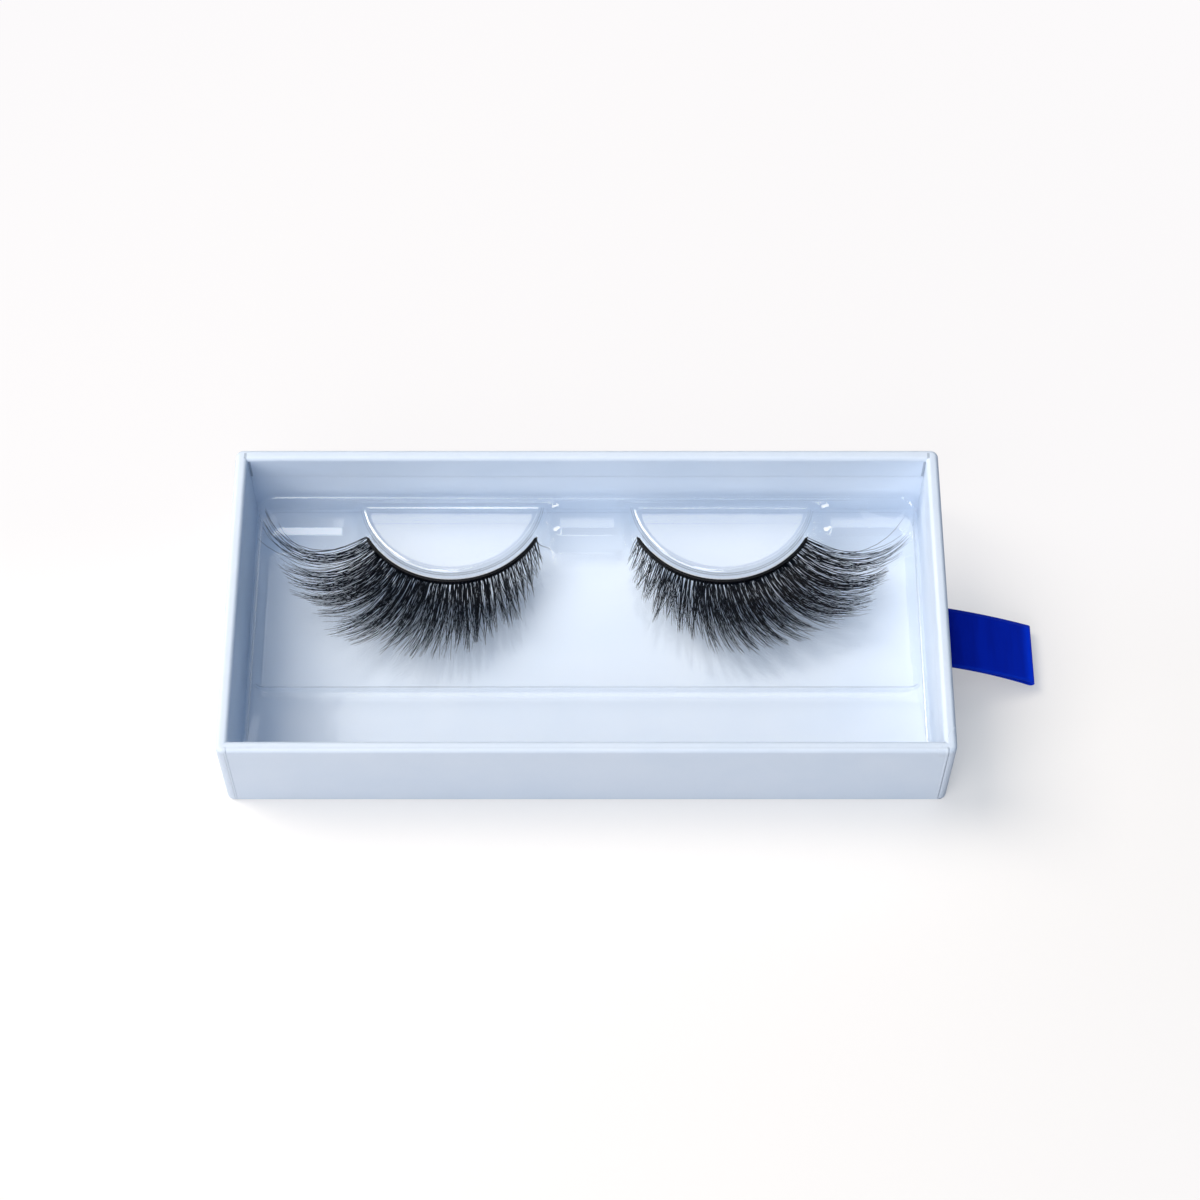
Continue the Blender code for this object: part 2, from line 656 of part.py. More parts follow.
def make_ribbon_loop(material, carrier):
    """The ribbon outside the wall: two layers that part a little towards the fold at the tip."""
    root = Vector((HINGE_X, RIBBON_HEIGHT))
    tip = Vector((DRAWER_LENGTH / 2 + RIBBON_REACH - RIBBON_FOLD_RADIUS, RIBBON_HEIGHT - RIBBON_DROOP))
    bend = Vector(((root.x + tip.x) / 2, root.y - RIBBON_DROOP * RIBBON_BEND_SHARE))
    closed = RIBBON_THICKNESS / 2 + GLUE_LINE / 2
    upper, lower = [], []
    for i in range(LAYER_STEPS + 1):
        t = i / LAYER_STEPS
        middle = root * (1 - t) ** 2 + bend * 2 * t * (1 - t) + tip * t ** 2
        along = ((bend - root) * (1 - t) + (tip - bend) * t).normalized()
        across = Vector((-along.y, along.x))
        half_gap = closed + (RIBBON_FOLD_RADIUS - closed) * t ** 2
        upper.append(middle + across * half_gap)
        lower.append(middle - across * half_gap)
    lean = math.atan2(along.y, along.x)
    fold = arc(tip, RIBBON_FOLD_RADIUS, lean + math.pi / 2, lean - math.pi / 2, FOLD_STEPS)
    outline = thick_line(upper + fold[1:-1] + lower[::-1], RIBBON_THICKNESS)
    loop = extrude_outline(outline, RIBBON_WIDTH, upright_across())
    make_object("ribbon_loop", loop, material, carrier)


def make_ribbon_tail(material):
    """The ribbon's two ends: together through the slit and down between the board and the lining."""
    thickness = 2 * RIBBON_THICKNESS
    down_x = DRAWER_LENGTH / 2 - TAIL_INSIDE - RIBBON_THICKNESS
    bend = RIBBON_THICKNESS + TAIL_BEND_GAP
    line = [Vector((DRAWER_LENGTH / 2, RIBBON_HEIGHT))]
    line += arc((down_x + bend, RIBBON_HEIGHT - bend), bend, math.pi / 2, math.pi, FOLD_STEPS)
    line += [Vector((down_x, RIBBON_HEIGHT - TAIL_LENGTH))]
    tail = extrude_outline(thick_line(line, thickness), RIBBON_WIDTH, upright_across())
    make_object("ribbon_tail", tail, material)


def main():
    """Build every piece, from the boards outwards."""
    clear_scene()
    greyboard = make_material("greyboard", (0.62, 0.59, 0.54), 0.9)
    tape = make_material("stay_tape", (0.83, 0.78, 0.68), 0.8)
    paper = make_material("wrap_paper", (0.72, 0.80, 0.90), 0.5)
    ribbon = make_material("ribbon", (0.004, 0.022, 0.38), 0.6)
    clear = make_material("clear_sheet", (0.9, 0.94, 0.98), 0.08, alpha=0.25)
    glue = make_material("tack", (0.86, 0.87, 0.87), 0.3, alpha=0.6)
    cotton = make_material("lash_band", (0.012, 0.012, 0.014), 0.7)
    hair = make_material("lash_hair", (0.016, 0.015, 0.017), 0.35)

    slot = make_slot_cutter()
    make_boards(greyboard, slot)
    make_corner_stays(tape)
    make_wrap_paper(paper, slot)
    make_lining_paper(paper)
    make_ribbon_tail(ribbon)

    pull = make_joint_empty("ribbon_hinge", (HINGE_X, RIBBON_ACROSS, RIBBON_HEIGHT))
    make_ribbon_loop(ribbon, pull)
    lift = make_joint_empty("insert_lift", (0.0, 0.0, INSERT_BOTTOM))
    make_insert(clear, lift)
    for name, side in (("left", -1), ("right", 1)):
        place = (side * PAD_CENTRE_X, PAD_CENTRE_Y, BAND_BOTTOM)
        peel = make_joint_empty(f"{name}_lash_lift", place, lift)
        make_lash(name, side, hair, cotton, glue, lift, peel)


main()
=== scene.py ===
# %% [markdown]
# # A lash box drawer with a pair of strip lashes
#
# This lesson dresses the drawer of a sleeve-and-drawer box in Blender.
# The drawer is greyboard covered with pale blue satin paper, and a royal blue ribbon pulls it out.
# A clear formed sheet inside carries two black strip lashes, each round the front of a D-shaped pad.
# The shapes that move and touch were made first and packed as a frame.
# Each cell below adds one piece or one finish on top of that frame, in the same metres.

import math
import random

import bmesh
import bpy
from mathutils import Matrix, Vector


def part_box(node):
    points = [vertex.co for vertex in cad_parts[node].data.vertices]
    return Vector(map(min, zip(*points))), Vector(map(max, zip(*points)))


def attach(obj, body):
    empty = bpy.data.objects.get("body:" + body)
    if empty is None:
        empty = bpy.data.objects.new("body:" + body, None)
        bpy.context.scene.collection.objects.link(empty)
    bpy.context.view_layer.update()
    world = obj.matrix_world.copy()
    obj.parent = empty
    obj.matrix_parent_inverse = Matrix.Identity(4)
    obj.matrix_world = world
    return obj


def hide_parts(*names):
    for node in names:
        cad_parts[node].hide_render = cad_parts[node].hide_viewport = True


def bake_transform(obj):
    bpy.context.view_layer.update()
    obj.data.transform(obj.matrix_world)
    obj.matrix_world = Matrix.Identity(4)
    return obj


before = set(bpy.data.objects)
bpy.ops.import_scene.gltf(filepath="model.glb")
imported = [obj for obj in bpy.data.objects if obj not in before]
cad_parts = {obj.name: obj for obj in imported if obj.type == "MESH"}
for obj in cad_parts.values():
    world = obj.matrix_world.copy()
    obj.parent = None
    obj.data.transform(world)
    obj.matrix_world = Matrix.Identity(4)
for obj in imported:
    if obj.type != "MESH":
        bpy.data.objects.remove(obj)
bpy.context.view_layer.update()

# %% [markdown]
# ## The camera
#
# The drawer is seen from its front, from 61 degrees above the table, straight on.
# A wide lens from near by would show it as large, but its back would look much narrower than its front.
# So a long lens stands 0.45 m away, where the drawer's edges run together as they do in the picture.
# The Standard view shows each colour as it is, without the soft contrast of film.

# %% Place the camera
MM = 0.001
SENSOR = 36.0
LENS = 84.9
CAMERA_ELEVATION = math.radians(61.3)
CAMERA_PLACE = (2.05 * MM, -207.4 * MM, 394.6 * MM)

camera_data = bpy.data.cameras.new("camera")
camera_data.sensor_width = SENSOR
camera_data.lens = LENS
camera_data.clip_start = 10 * MM
camera = bpy.data.objects.new("camera", camera_data)
camera.location = CAMERA_PLACE
camera.rotation_euler = (math.pi / 2 - CAMERA_ELEVATION, 0.0, 0.0)
bpy.context.scene.collection.objects.link(camera)
bpy.context.scene.camera = camera
bpy.context.scene.view_settings.view_transform = "Standard"
print("camera distance:", round(camera.location.length, 3), "m")

# %% [markdown]
# ## Writing shader maths
#
# A shader is a graph of nodes, which is slow to read when each link is written out.
# The graph could be drawn by hand in the editor, but then a script couldn't make it again.
# A Signal is one output of a node.
# Sums on a Signal add Math nodes, so a mask can be written as an ordinary expression.
# Every other node comes from Finish.node, which sets the node up first and then fills its sockets.

# %% Signals and finishes
class Signal:
    """One output of a shader node. Arithmetic on it adds Math nodes to the same finish."""

    def __init__(self, finish, socket):
        self.finish = finish
        self.socket = socket

    def maths(self, operation, *values):
        return self.finish.node("ShaderNodeMath", {"operation": operation}, dict(enumerate(values)))

    def __add__(self, other):
        return self.maths("ADD", self, other)

    def __radd__(self, other):
        return self.maths("ADD", other, self)

    def __sub__(self, other):
        return self.maths("SUBTRACT", self, other)

    def __rsub__(self, other):
        return self.maths("SUBTRACT", other, self)

    def __mul__(self, other):
        return self.maths("MULTIPLY", self, other)

    def __rmul__(self, other):
        return self.maths("MULTIPLY", other, self)

    def __pow__(self, other):
        return self.maths("POWER", self, other)

    def clamp(self):
        return self.maths("MINIMUM", self.maths("MAXIMUM", self, 0.0), 1.0)

    def sine(self):
        return self.maths("SINE", self)

    def size(self):
        return self.maths("ABSOLUTE", self)

    def steps(self, low, high):
        """A smooth rise from 0 at low to 1 at high."""
        settings = {"interpolation_type": "SMOOTHSTEP"}
        sockets = {"Value": self, "From Min": low, "From Max": high}
        return self.finish.node("ShaderNodeMapRange", settings, sockets)


class Finish:
    """A material, or the world, and the nodes that make it."""

    def __init__(self, name, kind=bpy.data.materials, shader="Principled BSDF", output="Material Output"):
        self.block = kind.new(name)
        self.block.use_nodes = True
        self.tree = self.block.node_tree
        self.shader = self.tree.nodes[shader]
        self.output = self.tree.nodes[output]

    def node(self, kind, settings=None, sockets=None, output=0):
        """Add a node, set it up, fill its sockets with values or Signals, and give one output."""
        node = self.tree.nodes.new(kind)
        for key, value in (settings or {}).items():
            setattr(node, key, value)
        for key, value in (sockets or {}).items():
            self.fill(node.inputs[key], value)
        return Signal(self, node.outputs[output])

    def fill(self, socket, value):
        """Link a Signal to a socket, or set a plain value on it."""
        if isinstance(value, Signal):
            self.tree.links.new(value.socket, socket)
        elif isinstance(value, tuple) and socket.type == "RGBA":
            socket.default_value = (*value[:3], 1.0)
        else:
            socket.default_value = value

    def dress(self, **values):
        """Fill the main shader's sockets. Base_Color stands for Base Color."""
        for key, value in values.items():
            self.fill(self.shader.inputs[key.replace("_", " ")], value)

    def place(self):
        """Where a point of the surface is, in metres."""
        return self.node("ShaderNodeTexCoord", {}, {}, "Object")

    def along(self, axis):
        """One coordinate of that place: 0 is X, 1 is Y and 2 is Z."""
        return self.node("ShaderNodeSeparateXYZ", {}, {"Vector": self.place()}, axis)

    def noise(self, scale, detail=2.0, rough=0.5, stretch=(1.0, 1.0, 1.0)):
        """Cloudy noise with this many cells in a metre."""
        where = self.node("ShaderNodeMapping", {}, {"Vector": self.place(), "Scale": stretch})
        sockets = {"Vector": where, "Scale": scale, "Detail": detail, "Roughness": rough}
        return self.node("ShaderNodeTexNoise", {}, sockets, "Fac")

    def blend(self, share, first, second):
        """A colour between two colours."""
        settings = {"data_type": "RGBA"}
        return self.node("ShaderNodeMix", settings, {0: share, 6: first, 7: second}, 2)

    def bump(self, height, distance, strength=1.0, under=None):
        """A normal that makes the surface look raised by height times distance, on top of another bump."""
        sockets = {"Height": height, "Distance": distance, "Strength": strength}
        if under:
            sockets["Normal"] = under
        return self.node("ShaderNodeBump", {}, sockets)


def linear(red, green, blue):
    """A colour given as it looks on a screen, from 0 to 255, as the light values that a shader needs."""
    return tuple((c / 255.0) ** 2.2 for c in (red, green, blue))


print("a mid grey becomes", [round(c, 3) for c in linear(128, 128, 128)])

# %% [markdown]
# ## Outlines and rings
#
# A paper wrap or a formed tray follows one outline all the way round, with the same profile everywhere.
# A cube with bevelled edges would be quick, but its bevels meet badly where a wall is only paper thick.
# So an outline is drawn once, rounded at its corners and extruded in steps, ring by ring.
# Each step moves the ring a little inwards or outwards and up or down, so the profile rounds every edge.
# Blender's vertex bevel rounds the corners, and extruding only the edges adds one ring of faces.

# %% Outlines and rings
def grown(corners, grow):
    """The corners of a right-angled outline, which runs counter-clockwise, moved outwards."""
    moved = []
    for i, corner in enumerate(corners):
        here = Vector(corner)
        into = (here - Vector(corners[i - 1])).normalized()
        out_of = (Vector(corners[(i + 1) % len(corners)]) - here).normalized()
        side = Vector((into.y + out_of.y, -into.x - out_of.x))
        moved.append(here + side * grow)
    return moved


REAR_WEIGHT = 0.31


def read_outline(face):
    """The points round a face, from its rightmost one. Points further back win, so that none ties."""
    points = [loop.vert.co.xy.copy() for loop in face.loops]
    if face.normal.z < 0:
        points.reverse()
    first = max(range(len(points)), key=lambda i: points[i].x + REAR_WEIGHT * points[i].y)
    return points[first:] + points[:first]


def rounded(corners, radii, steps):
    """Round the corners of an outline with the vertex bevel, each by its own radius."""
    bm = bmesh.new()
    verts = [bm.verts.new((p[0], p[1], 0.0)) for p in corners]
    bm.faces.new(verts)
    for radius in sorted(set(radii)):
        chosen = [v for v, r in zip(verts, radii) if r == radius]
        bmesh.ops.bevel(
            bm,
            geom=chosen,
            offset=radius,
            segments=steps,
            profile=0.5,
            affect="VERTICES",
            material=-1,
            clamp_overlap=False,
        )
    bm.normal_update()
    points = read_outline(bm.faces[:][0])
    bm.free()
    return points


def draw_rings(bm, rings):
    """Extrude a ring of points out through the other rings. Gives the edges of the first and last ring."""
    ring = [bm.verts.new(point) for point in rings[0]]
    first = [bm.edges.new((ring[i - 1], ring[i])) for i in range(len(ring))]
    edges = first
    for points in rings[1:]:
        places = dict(zip(ring, points))
        made = bmesh.ops.extrude_edge_only(bm, edges=edges)["geom"]
        partner = {}
        for vert in (item for item in made if isinstance(item, bmesh.types.BMVert)):
            source = next(e.other_vert(vert) for e in vert.link_edges if e.other_vert(vert) in places)
            partner[source] = vert
        for source, point in places.items():
            partner[source].co = point
        ring = [partner[source] for source in ring]
        edges = [item for item in made if isinstance(item, bmesh.types.BMEdge)]
    return first, edges


def fill(bm, edges):
    """Close one flat loop of edges, or the area between an outer loop and the loops inside it."""
    bmesh.ops.triangle_fill(bm, use_beauty=True, use_dissolve=False, edges=edges)


def quarter(centre, radius, start, end, steps):
    """Offsets and heights round an arc of a profile, in degrees from the outward direction."""
    turned = []
    for i in range(steps + 1):
        angle = math.radians(start + (end - start) * i / steps)
        turned.append((centre[0] + radius * math.cos(angle), centre[1] + radius * math.sin(angle)))
    return turned


# %% [markdown]
# ## Finishing a piece
#
# A real piece is cut or formed, coated and then glued or laid in its place, and a mesh goes the same way.
# Modifiers could stay live on it, but a Boolean would then keep its cutter in the scene.
# So one helper turns the faces out, keeps what the modifiers make of them, and adds the material.
# The same helper lets the piece ride on the body that it moves with.
# Weighted normals are for papers and sheet, whose flats would otherwise look swollen beside a rounded edge.

# %% Finished pieces
FLAT_WEIGHT = 80


def piece(name, bm, finish, body, modifiers=(), turn_out=True):
    """Make a finished piece from a mesh, dress it and let it ride on a body, if one is named."""
    if turn_out:
        bmesh.ops.recalc_face_normals(bm, faces=bm.faces)
    mesh = bpy.data.meshes.new(name)
    bm.to_mesh(mesh)
    bm.free()
    made = bpy.data.objects.new(name, mesh)
    bpy.context.scene.collection.objects.link(made)
    for kind, settings in modifiers:
        modifier = made.modifiers.new(kind.title(), kind)
        for key, value in settings.items():
            setattr(modifier, key, value)
    if modifiers:
        bpy.context.view_layer.update()
        solid = made.evaluated_get(bpy.context.evaluated_depsgraph_get())
        made.data = bpy.data.meshes.new_from_object(solid)
        made.data.name = name
        made.modifiers.clear()
        bpy.data.meshes.remove(mesh)
    made.data.materials.clear()
    made.data.materials.append(finish.block)
    made.data.shade_smooth()
    if body:
        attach(made, body)
    print(name, "has", sum(len(p.vertices) - 2 for p in made.data.polygons), "triangles")
    return made


def keep_flats_flat(made):
    """Let the large faces set the shading, so that a flat stays flat beside its rounded edge."""
    weighted = made.modifiers.new("Flat faces", "WEIGHTED_NORMAL")
    weighted.mode = "FACE_AREA"
    weighted.weight = FLAT_WEIGHT


# %% [markdown]
# ## Sizes of the drawer
#
# Such a drawer is five boards of 1.35 mm, wrapped on the outside and lined on the inside.
# Its outer size could be typed again here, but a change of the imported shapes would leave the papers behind.
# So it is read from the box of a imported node.
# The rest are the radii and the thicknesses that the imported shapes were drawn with.

# %% Sizes of the drawer
PAPER = 0.15 * MM
WALL = 1.9 * MM
CORNER_RADIUS = 1.2 * MM
RIM_RADIUS = 0.7 * MM
FOOT_RADIUS = 0.4 * MM
TURN_IN = 5.0 * MM
SMALLEST_RADIUS = 0.08 * MM
EDGE_STEPS = 8

_, drawer_high = (Vector(p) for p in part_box("wrap_paper"))
HALF_LENGTH = drawer_high.x
HALF_WIDTH = drawer_high.y
HEIGHT = drawer_high.z


def rectangle(half_x, half_y):
    """The corners of a rectangle about the drawer's centre."""
    return [(-half_x, -half_y), (half_x, -half_y), (half_x, half_y), (-half_x, half_y)]


def drawer_ring(inset, height):
    """One ring of the drawer, moved in from its outer face."""
    radius = max(CORNER_RADIUS - inset, SMALLEST_RADIUS)
    outline = rounded(grown(rectangle(HALF_LENGTH, HALF_WIDTH), -inset), [radius] * 4, EDGE_STEPS)
    return [(p.x, p.y, height) for p in outline]


print("drawer in mm:", [round(size / MM, 2) for size in (HALF_LENGTH * 2, HALF_WIDTH * 2, HEIGHT)])

# %% [markdown]
# ## Folds of the paper
#
# Where the sheet wraps a corner, its front flap ends at a raised fold, and small creases show inside.
# They could be cut into the sheet's mesh, but they are finer than the sheet is thick.
# So they are masks on a point's place, which feed the bump and the colour of the paper: the raised folds are
# bumps, and the creases, small nicks at the rim and the foot of each front corner are painted shade in the
# colour.
# A mask's limits are distances from the edge that it follows, so that it moves with that edge.

# %% Masks of the folds
# Painted shade: the colour that darkens the creases, the nicks and the feet of the folds.
PAINTED_FOLD_SHADE = linear(96, 110, 132)
FLAP_END = HALF_LENGTH - 1.38 * MM
FLAP_REACH = (0.0, 0.12 * MM)
FRONT_REACH = (-0.85 * MM, -0.35 * MM)
LIP_REACH = (-0.22 * MM, -0.02 * MM, 0.12 * MM)
TAB_EDGE = 58.2 * MM
TAB_LEAN = (0.85, -0.53)
TAB_REACH = (0.0, 0.1 * MM)
TAB_HEIGHT = (-1.8 * MM, -1.2 * MM)
CREASE_ACROSS = (-0.32 * MM, -0.08 * MM, 0.12 * MM)
CREASE_DEEP = (-0.35 * MM, 0.45 * MM, 0.3 * MM)
CREASE_HEIGHT = (-TURN_IN - 0.1 * MM, -0.8 * MM, 0.3 * MM)
NICK_ACROSS = (0.2 * MM, 0.5 * MM, 0.1 * MM)
NICK_DEEP = (0.35 * MM, 1.15 * MM, 0.15 * MM)
NICK_HEIGHT = (-1.0 * MM, -0.4 * MM)
FOOT_ACROSS = (0.23 * MM, 0.58 * MM, 0.12 * MM)
FOOT_HEIGHT = (0.5 * MM, 0.9 * MM)


def past(value, edge, reach):
    """A mask that rises from 0 to 1 between two distances from an edge."""
    return value.steps(edge + reach[0], edge + reach[1])


def band(value, edge, reach):
    """A mask that is 1 between two distances from an edge, and ends softly over the third."""
    start, end, soft = reach
    low, high = edge + start, edge + end
    return value.steps(low - soft, low) * (1 - value.steps(high, high + soft))


def add_folds(paper, base, relief):
    """The bump of the front flap that ends at each upright fold, and painted shade in the creases and nicks of
    the turned-in corners and at the foot of each front corner.
    """
    across, deep, high = (paper.along(axis) for axis in range(3))
    side = across.size()
    at_front = past(deep * -1, HALF_WIDTH, FRONT_REACH)
    flap = (1 - past(side, FLAP_END, FLAP_REACH)) * at_front
    lip = band(side, FLAP_END, LIP_REACH) * at_front
    tab = past(across * TAB_LEAN[0] + deep * TAB_LEAN[1], TAB_EDGE, TAB_REACH)
    tab = tab * past(high, HEIGHT, TAB_HEIGHT)
    height = flap + lip * 0.7 + tab * 0.8
    folds = paper.bump(height, 0.1 * MM, 1.0, relief)
    inside_x, inside_y = HALF_LENGTH - WALL, HALF_WIDTH - WALL
    crease = band(side, inside_x, CREASE_ACROSS) * band(deep, inside_y, CREASE_DEEP)
    crease = crease * band(high, HEIGHT, CREASE_HEIGHT) * 0.5
    nick = band(side, inside_x, NICK_ACROSS) * band(deep, inside_y, NICK_DEEP)
    nick = nick * past(high, HEIGHT, NICK_HEIGHT) * 0.45
    foot = band(across, FLAP_END, FOOT_ACROSS) * (1 - past(high, 0.0, FOOT_HEIGHT)) * at_front * 0.55
    # Painted shade: the creases, the nicks and the feet darken the paper's colour where shade falls.
    painted_shade = (crease + nick + foot).clamp()
    return paper.blend(painted_shade, base, PAINTED_FOLD_SHADE), folds


# %% [markdown]
# ## Satin paper
#
# Box paper is a coated sheet with a soft satin face.
# Close up it has short fibres under the coat, slow waves from the glue, and a cloudy tone.
# A scan of paper would show them too, but it repeats, and noise needs no file.
# So noise at three scales gives the three, and the two that can be felt also drive the bump.

# %% Paper finishes
PAPER_LIGHT = linear(222, 233, 248)
PAPER_DARK = linear(215, 228, 245)


def satin_paper(name, roughness, folded):
    """Coated paper: a cloudy tint, fine fibres and slow waves, and the folds of a wrapped corner."""
    paper = Finish(name)
    cloud = paper.noise(90.0, 3.0)
    fibre = paper.noise(5200.0, 3.0, 0.6, (1.0, 0.45, 1.0))
    wave = paper.noise(210.0, 2.0)
    tone = (cloud * 0.7 + fibre * 0.3).steps(0.25, 0.75)
    grain = paper.bump(fibre, 0.012 * MM, 0.5)
    relief = paper.bump(wave, 0.09 * MM, 0.55, grain)
    base = paper.blend(tone, PAPER_DARK, PAPER_LIGHT)
    if folded:
        base, relief = add_folds(paper, base, relief)
    paper.dress(
        Base_Color=base,
        Roughness=roughness - 0.06 + fibre * 0.12,
        Normal=relief,
        Coat_Weight=0.06 + cloud * 0.05,
        Coat_Roughness=0.32,
        Specular_IOR_Level=0.42,
    )
    return paper


blue_paper = satin_paper("blue_white_paper", 0.46, True)
lining_paper = satin_paper("lining_paper", 0.52, False)
print("nodes in the covering's paper:", len(blue_paper.tree.nodes))

# %% [markdown]
# ## The covering paper
#
# One sheet wraps the boards: under the base, up the walls, over the rims and 5 mm down inside.
# A box with a Solidify modifier would come close, but its open inner edge would need mending.
# So the sheet is drawn as a closed skin from rings, outside first and then back along its inner face.
# A Boolean with a small box opens the slit for the ribbon.

# %% Covering paper
ribbon_low, ribbon_high = (Vector(p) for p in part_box("ribbon_tail"))
RIBBON_ACROSS = (ribbon_low.y + ribbon_high.y) / 2
RIBBON_WIDTH = ribbon_high.y - ribbon_low.y
RIBBON_HEIGHT = 8.0 * MM
SLIT_HALF_HEIGHT = 0.5 * MM
SLIT_SIDE_ROOM = 0.28 * MM
FOOT_STEPS = 5


def slit_cutter(name):
    """A box through the right wall, a little wider than the ribbon."""
    bm = bmesh.new()
    bmesh.ops.create_cube(bm, size=1.0)
    size = (3 * WALL, RIBBON_WIDTH + 2 * SLIT_SIDE_ROOM, 2 * SLIT_HALF_HEIGHT)
    bmesh.ops.scale(bm, verts=bm.verts, vec=size)
    bmesh.ops.translate(bm, verts=bm.verts, vec=(HALF_LENGTH - WALL / 2, RIBBON_ACROSS, RIBBON_HEIGHT))
    mesh = bpy.data.meshes.new(name)
    bm.to_mesh(mesh)
    bm.free()
    cutter = bpy.data.objects.new(name, mesh)
    bpy.context.scene.collection.objects.link(cutter)
    return cutter


def covering_profile():
    """Insets and heights along the sheet's outer face and back along its inner one."""
    path = []
    for layer in (0.0, PAPER):
        top = HEIGHT - RIM_RADIUS
        foot = quarter((-FOOT_RADIUS, FOOT_RADIUS), FOOT_RADIUS - layer, -90, 0, FOOT_STEPS)
        outer = quarter((-RIM_RADIUS, top), RIM_RADIUS - layer, 0, 90, EDGE_STEPS)
        inner = quarter((RIM_RADIUS - WALL, top), RIM_RADIUS - layer, 90, 180, EDGE_STEPS)
        run = foot + outer + inner + [(layer - WALL, HEIGHT - TURN_IN)]
        path += run if layer == 0.0 else run[::-1]
    return path


slit = slit_cutter("slit_cutter")
covering = bmesh.new()
first, last = draw_rings(covering, [drawer_ring(-offset, height) for offset, height in covering_profile()])
fill(covering, first)
fill(covering, last)
open_slit = ("BOOLEAN", {"object": slit, "operation": "DIFFERENCE", "solver": "EXACT"})
covering_paper = piece("covering_paper", covering, blue_paper, "drawer", [open_slit])
keep_flats_flat(covering_paper)
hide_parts("wrap_paper")
bpy.data.objects.remove(slit, do_unlink=True)

# %% [markdown]
# ## The lining
#
# The lining is a second sheet, glued in after the covering is turned in.
# It covers the floor and climbs the walls to just under the turned-in edge, which shows as a fine line.
# That line could be painted on, but the gap between two real sheets draws it from every side.
# On the right wall the lining also covers the ends of the ribbon, so it has no slit.

# %% Lining paper
INNER_FLOOR = 1.75 * MM
LAP_GAP = 0.1 * MM
LINING_RADIUS = 0.25 * MM
LINING_STEPS = 4

lining = bmesh.new()
top = HEIGHT - TURN_IN - LAP_GAP
back_of_sheet = WALL - PAPER
corner_centre = (-WALL - LINING_RADIUS, INNER_FLOOR + LINING_RADIUS)
corner = quarter(corner_centre, LINING_RADIUS, 0, -90, LINING_STEPS)
profile = [(-back_of_sheet, INNER_FLOOR - PAPER), (-back_of_sheet, top), (-WALL, top)] + corner
first, last = draw_rings(lining, [drawer_ring(-offset, height) for offset, height in profile])
fill(lining, first)
fill(lining, last)
inner_lining = piece("inner_lining", lining, lining_paper, "drawer")
keep_flats_flat(inner_lining)
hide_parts("lining_paper")

# %% [markdown]
# ## Sizes of the insert
#
# The insert stands on the lining: a plateau round a recess, and two pads in it that the lashes lie on.
# The pads could be drawn freehand, but a real one is part of a circle, to hold the lash in its curve.
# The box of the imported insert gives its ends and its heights.
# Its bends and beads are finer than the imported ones, because they are what catches the light.

# %% Sizes of the insert
SHEET = 0.3 * MM
DRAFT = 0.3 * MM
FORM_RADIUS = 0.7 * MM
RECESS_FOOT_RADIUS = 0.25 * MM
CREST_RADIUS = 0.35 * MM
SLOPE = 1.05 * MM
SLOPE_LEAN = 25
SHOULDER_RADIUS = 0.6 * MM
TOP_RADIUS = 0.36 * MM
BEAD_HEIGHT = 0.14 * MM
BEAD_WIDTH = 0.45 * MM
RIM_BEAD_WIDTH = 0.34 * MM
PAD_DRAFT = 0.4 * MM
PAD_RADIUS = 14.7 * MM
PAD_CORNER = 0.5 * MM
PAD_FOOT_RADIUS = 0.1 * MM
PAD_STEPS = 40
WIDE_CORNER = 1.4 * MM
BLOCK_CORNER = 1.7 * MM
INSERT_CORNER = 2.7 * MM
NOTCH_SIDE_ROOM = 0.5 * MM
NOTCH_BACK_ROOM = 0.4 * MM
PAD_BACK_ROOM = 0.1 * MM
END_EASE = 0.4 * MM
REAR_EASE = 0.28 * MM
END_X = 51.0 * MM
FRONT_Y = -10.25 * MM
BLOCK_Y = 16.15 * MM
NOTCH_OUTER = 37.1 * MM
NOTCH_INNER = 5.7 * MM
NOTCH_BACK = 22.25 * MM
PAD_X = 21.4 * MM
PAD_Y = 23.6 * MM
PAD_BACK = 21.6 * MM

insert_low, insert_high = (Vector(p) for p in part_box("insert_tray"))
SHEET_FOOT = insert_low.z
PLATEAU = SHEET_FOOT + 5.7 * MM
PAD_TOP = insert_high.z
RECESS_FLOOR = SHEET_FOOT + SHEET
INSERT_X = insert_high.x - DRAFT
INSERT_Y = insert_high.y - DRAFT
print("insert in mm:", [round(size / MM, 2) for size in insert_high - insert_low])

# %% [markdown]
# ## Clear sheet
#
# The insert is PET sheet, heated and drawn over a mould.
# It is nearly invisible: what shows is light from the lamps on its flats and bright lines on its edges.
# A glass shader would bend each ray and need many samples, for a sheet too thin to show the bending.
# So each face mirrors a small share of the light and lets the rest straight through.
# That share grows towards grazing angles, so it follows the view angle as glass does.
# Forming leaves slow waves and fine scratches, and a duller floor. Thin grey lines on the ledge's edge above
# the recess and on the rounded front edge of each pad are painted shade: there the sheet mirrors more, and
# mirrors grey.
# The tops of the pads lie flattest against the mould, and they mirror a little more than the rest.
# A ray passes many such faces, so the scene allows 32 of them before it gives up.

# %% Clear sheet finish
FACE_REFLECTANCE = 0.045
FACES_IN_A_RAY = 32
# The colour of the painted shade on the bend lines.
PAINTED_BEND_SHADE = (0.2, 0.24, 0.3)
LEDGE_REACH = (-0.15 * MM, 0.55 * MM, 0.1 * MM)
LEDGE_HEIGHT = (-0.56 * MM, -0.48 * MM, 0.05 * MM)
PAD_FRONT_REACH = (-0.6 * MM, -0.3 * MM)
PAD_BEND_HEIGHT = (-0.25 * MM, 0.0, 0.1 * MM)
PAD_TOP_HEIGHT = (-0.23 * MM, -0.15 * MM)
DRAWN_HEIGHT = (1.05 * MM, 1.85 * MM)

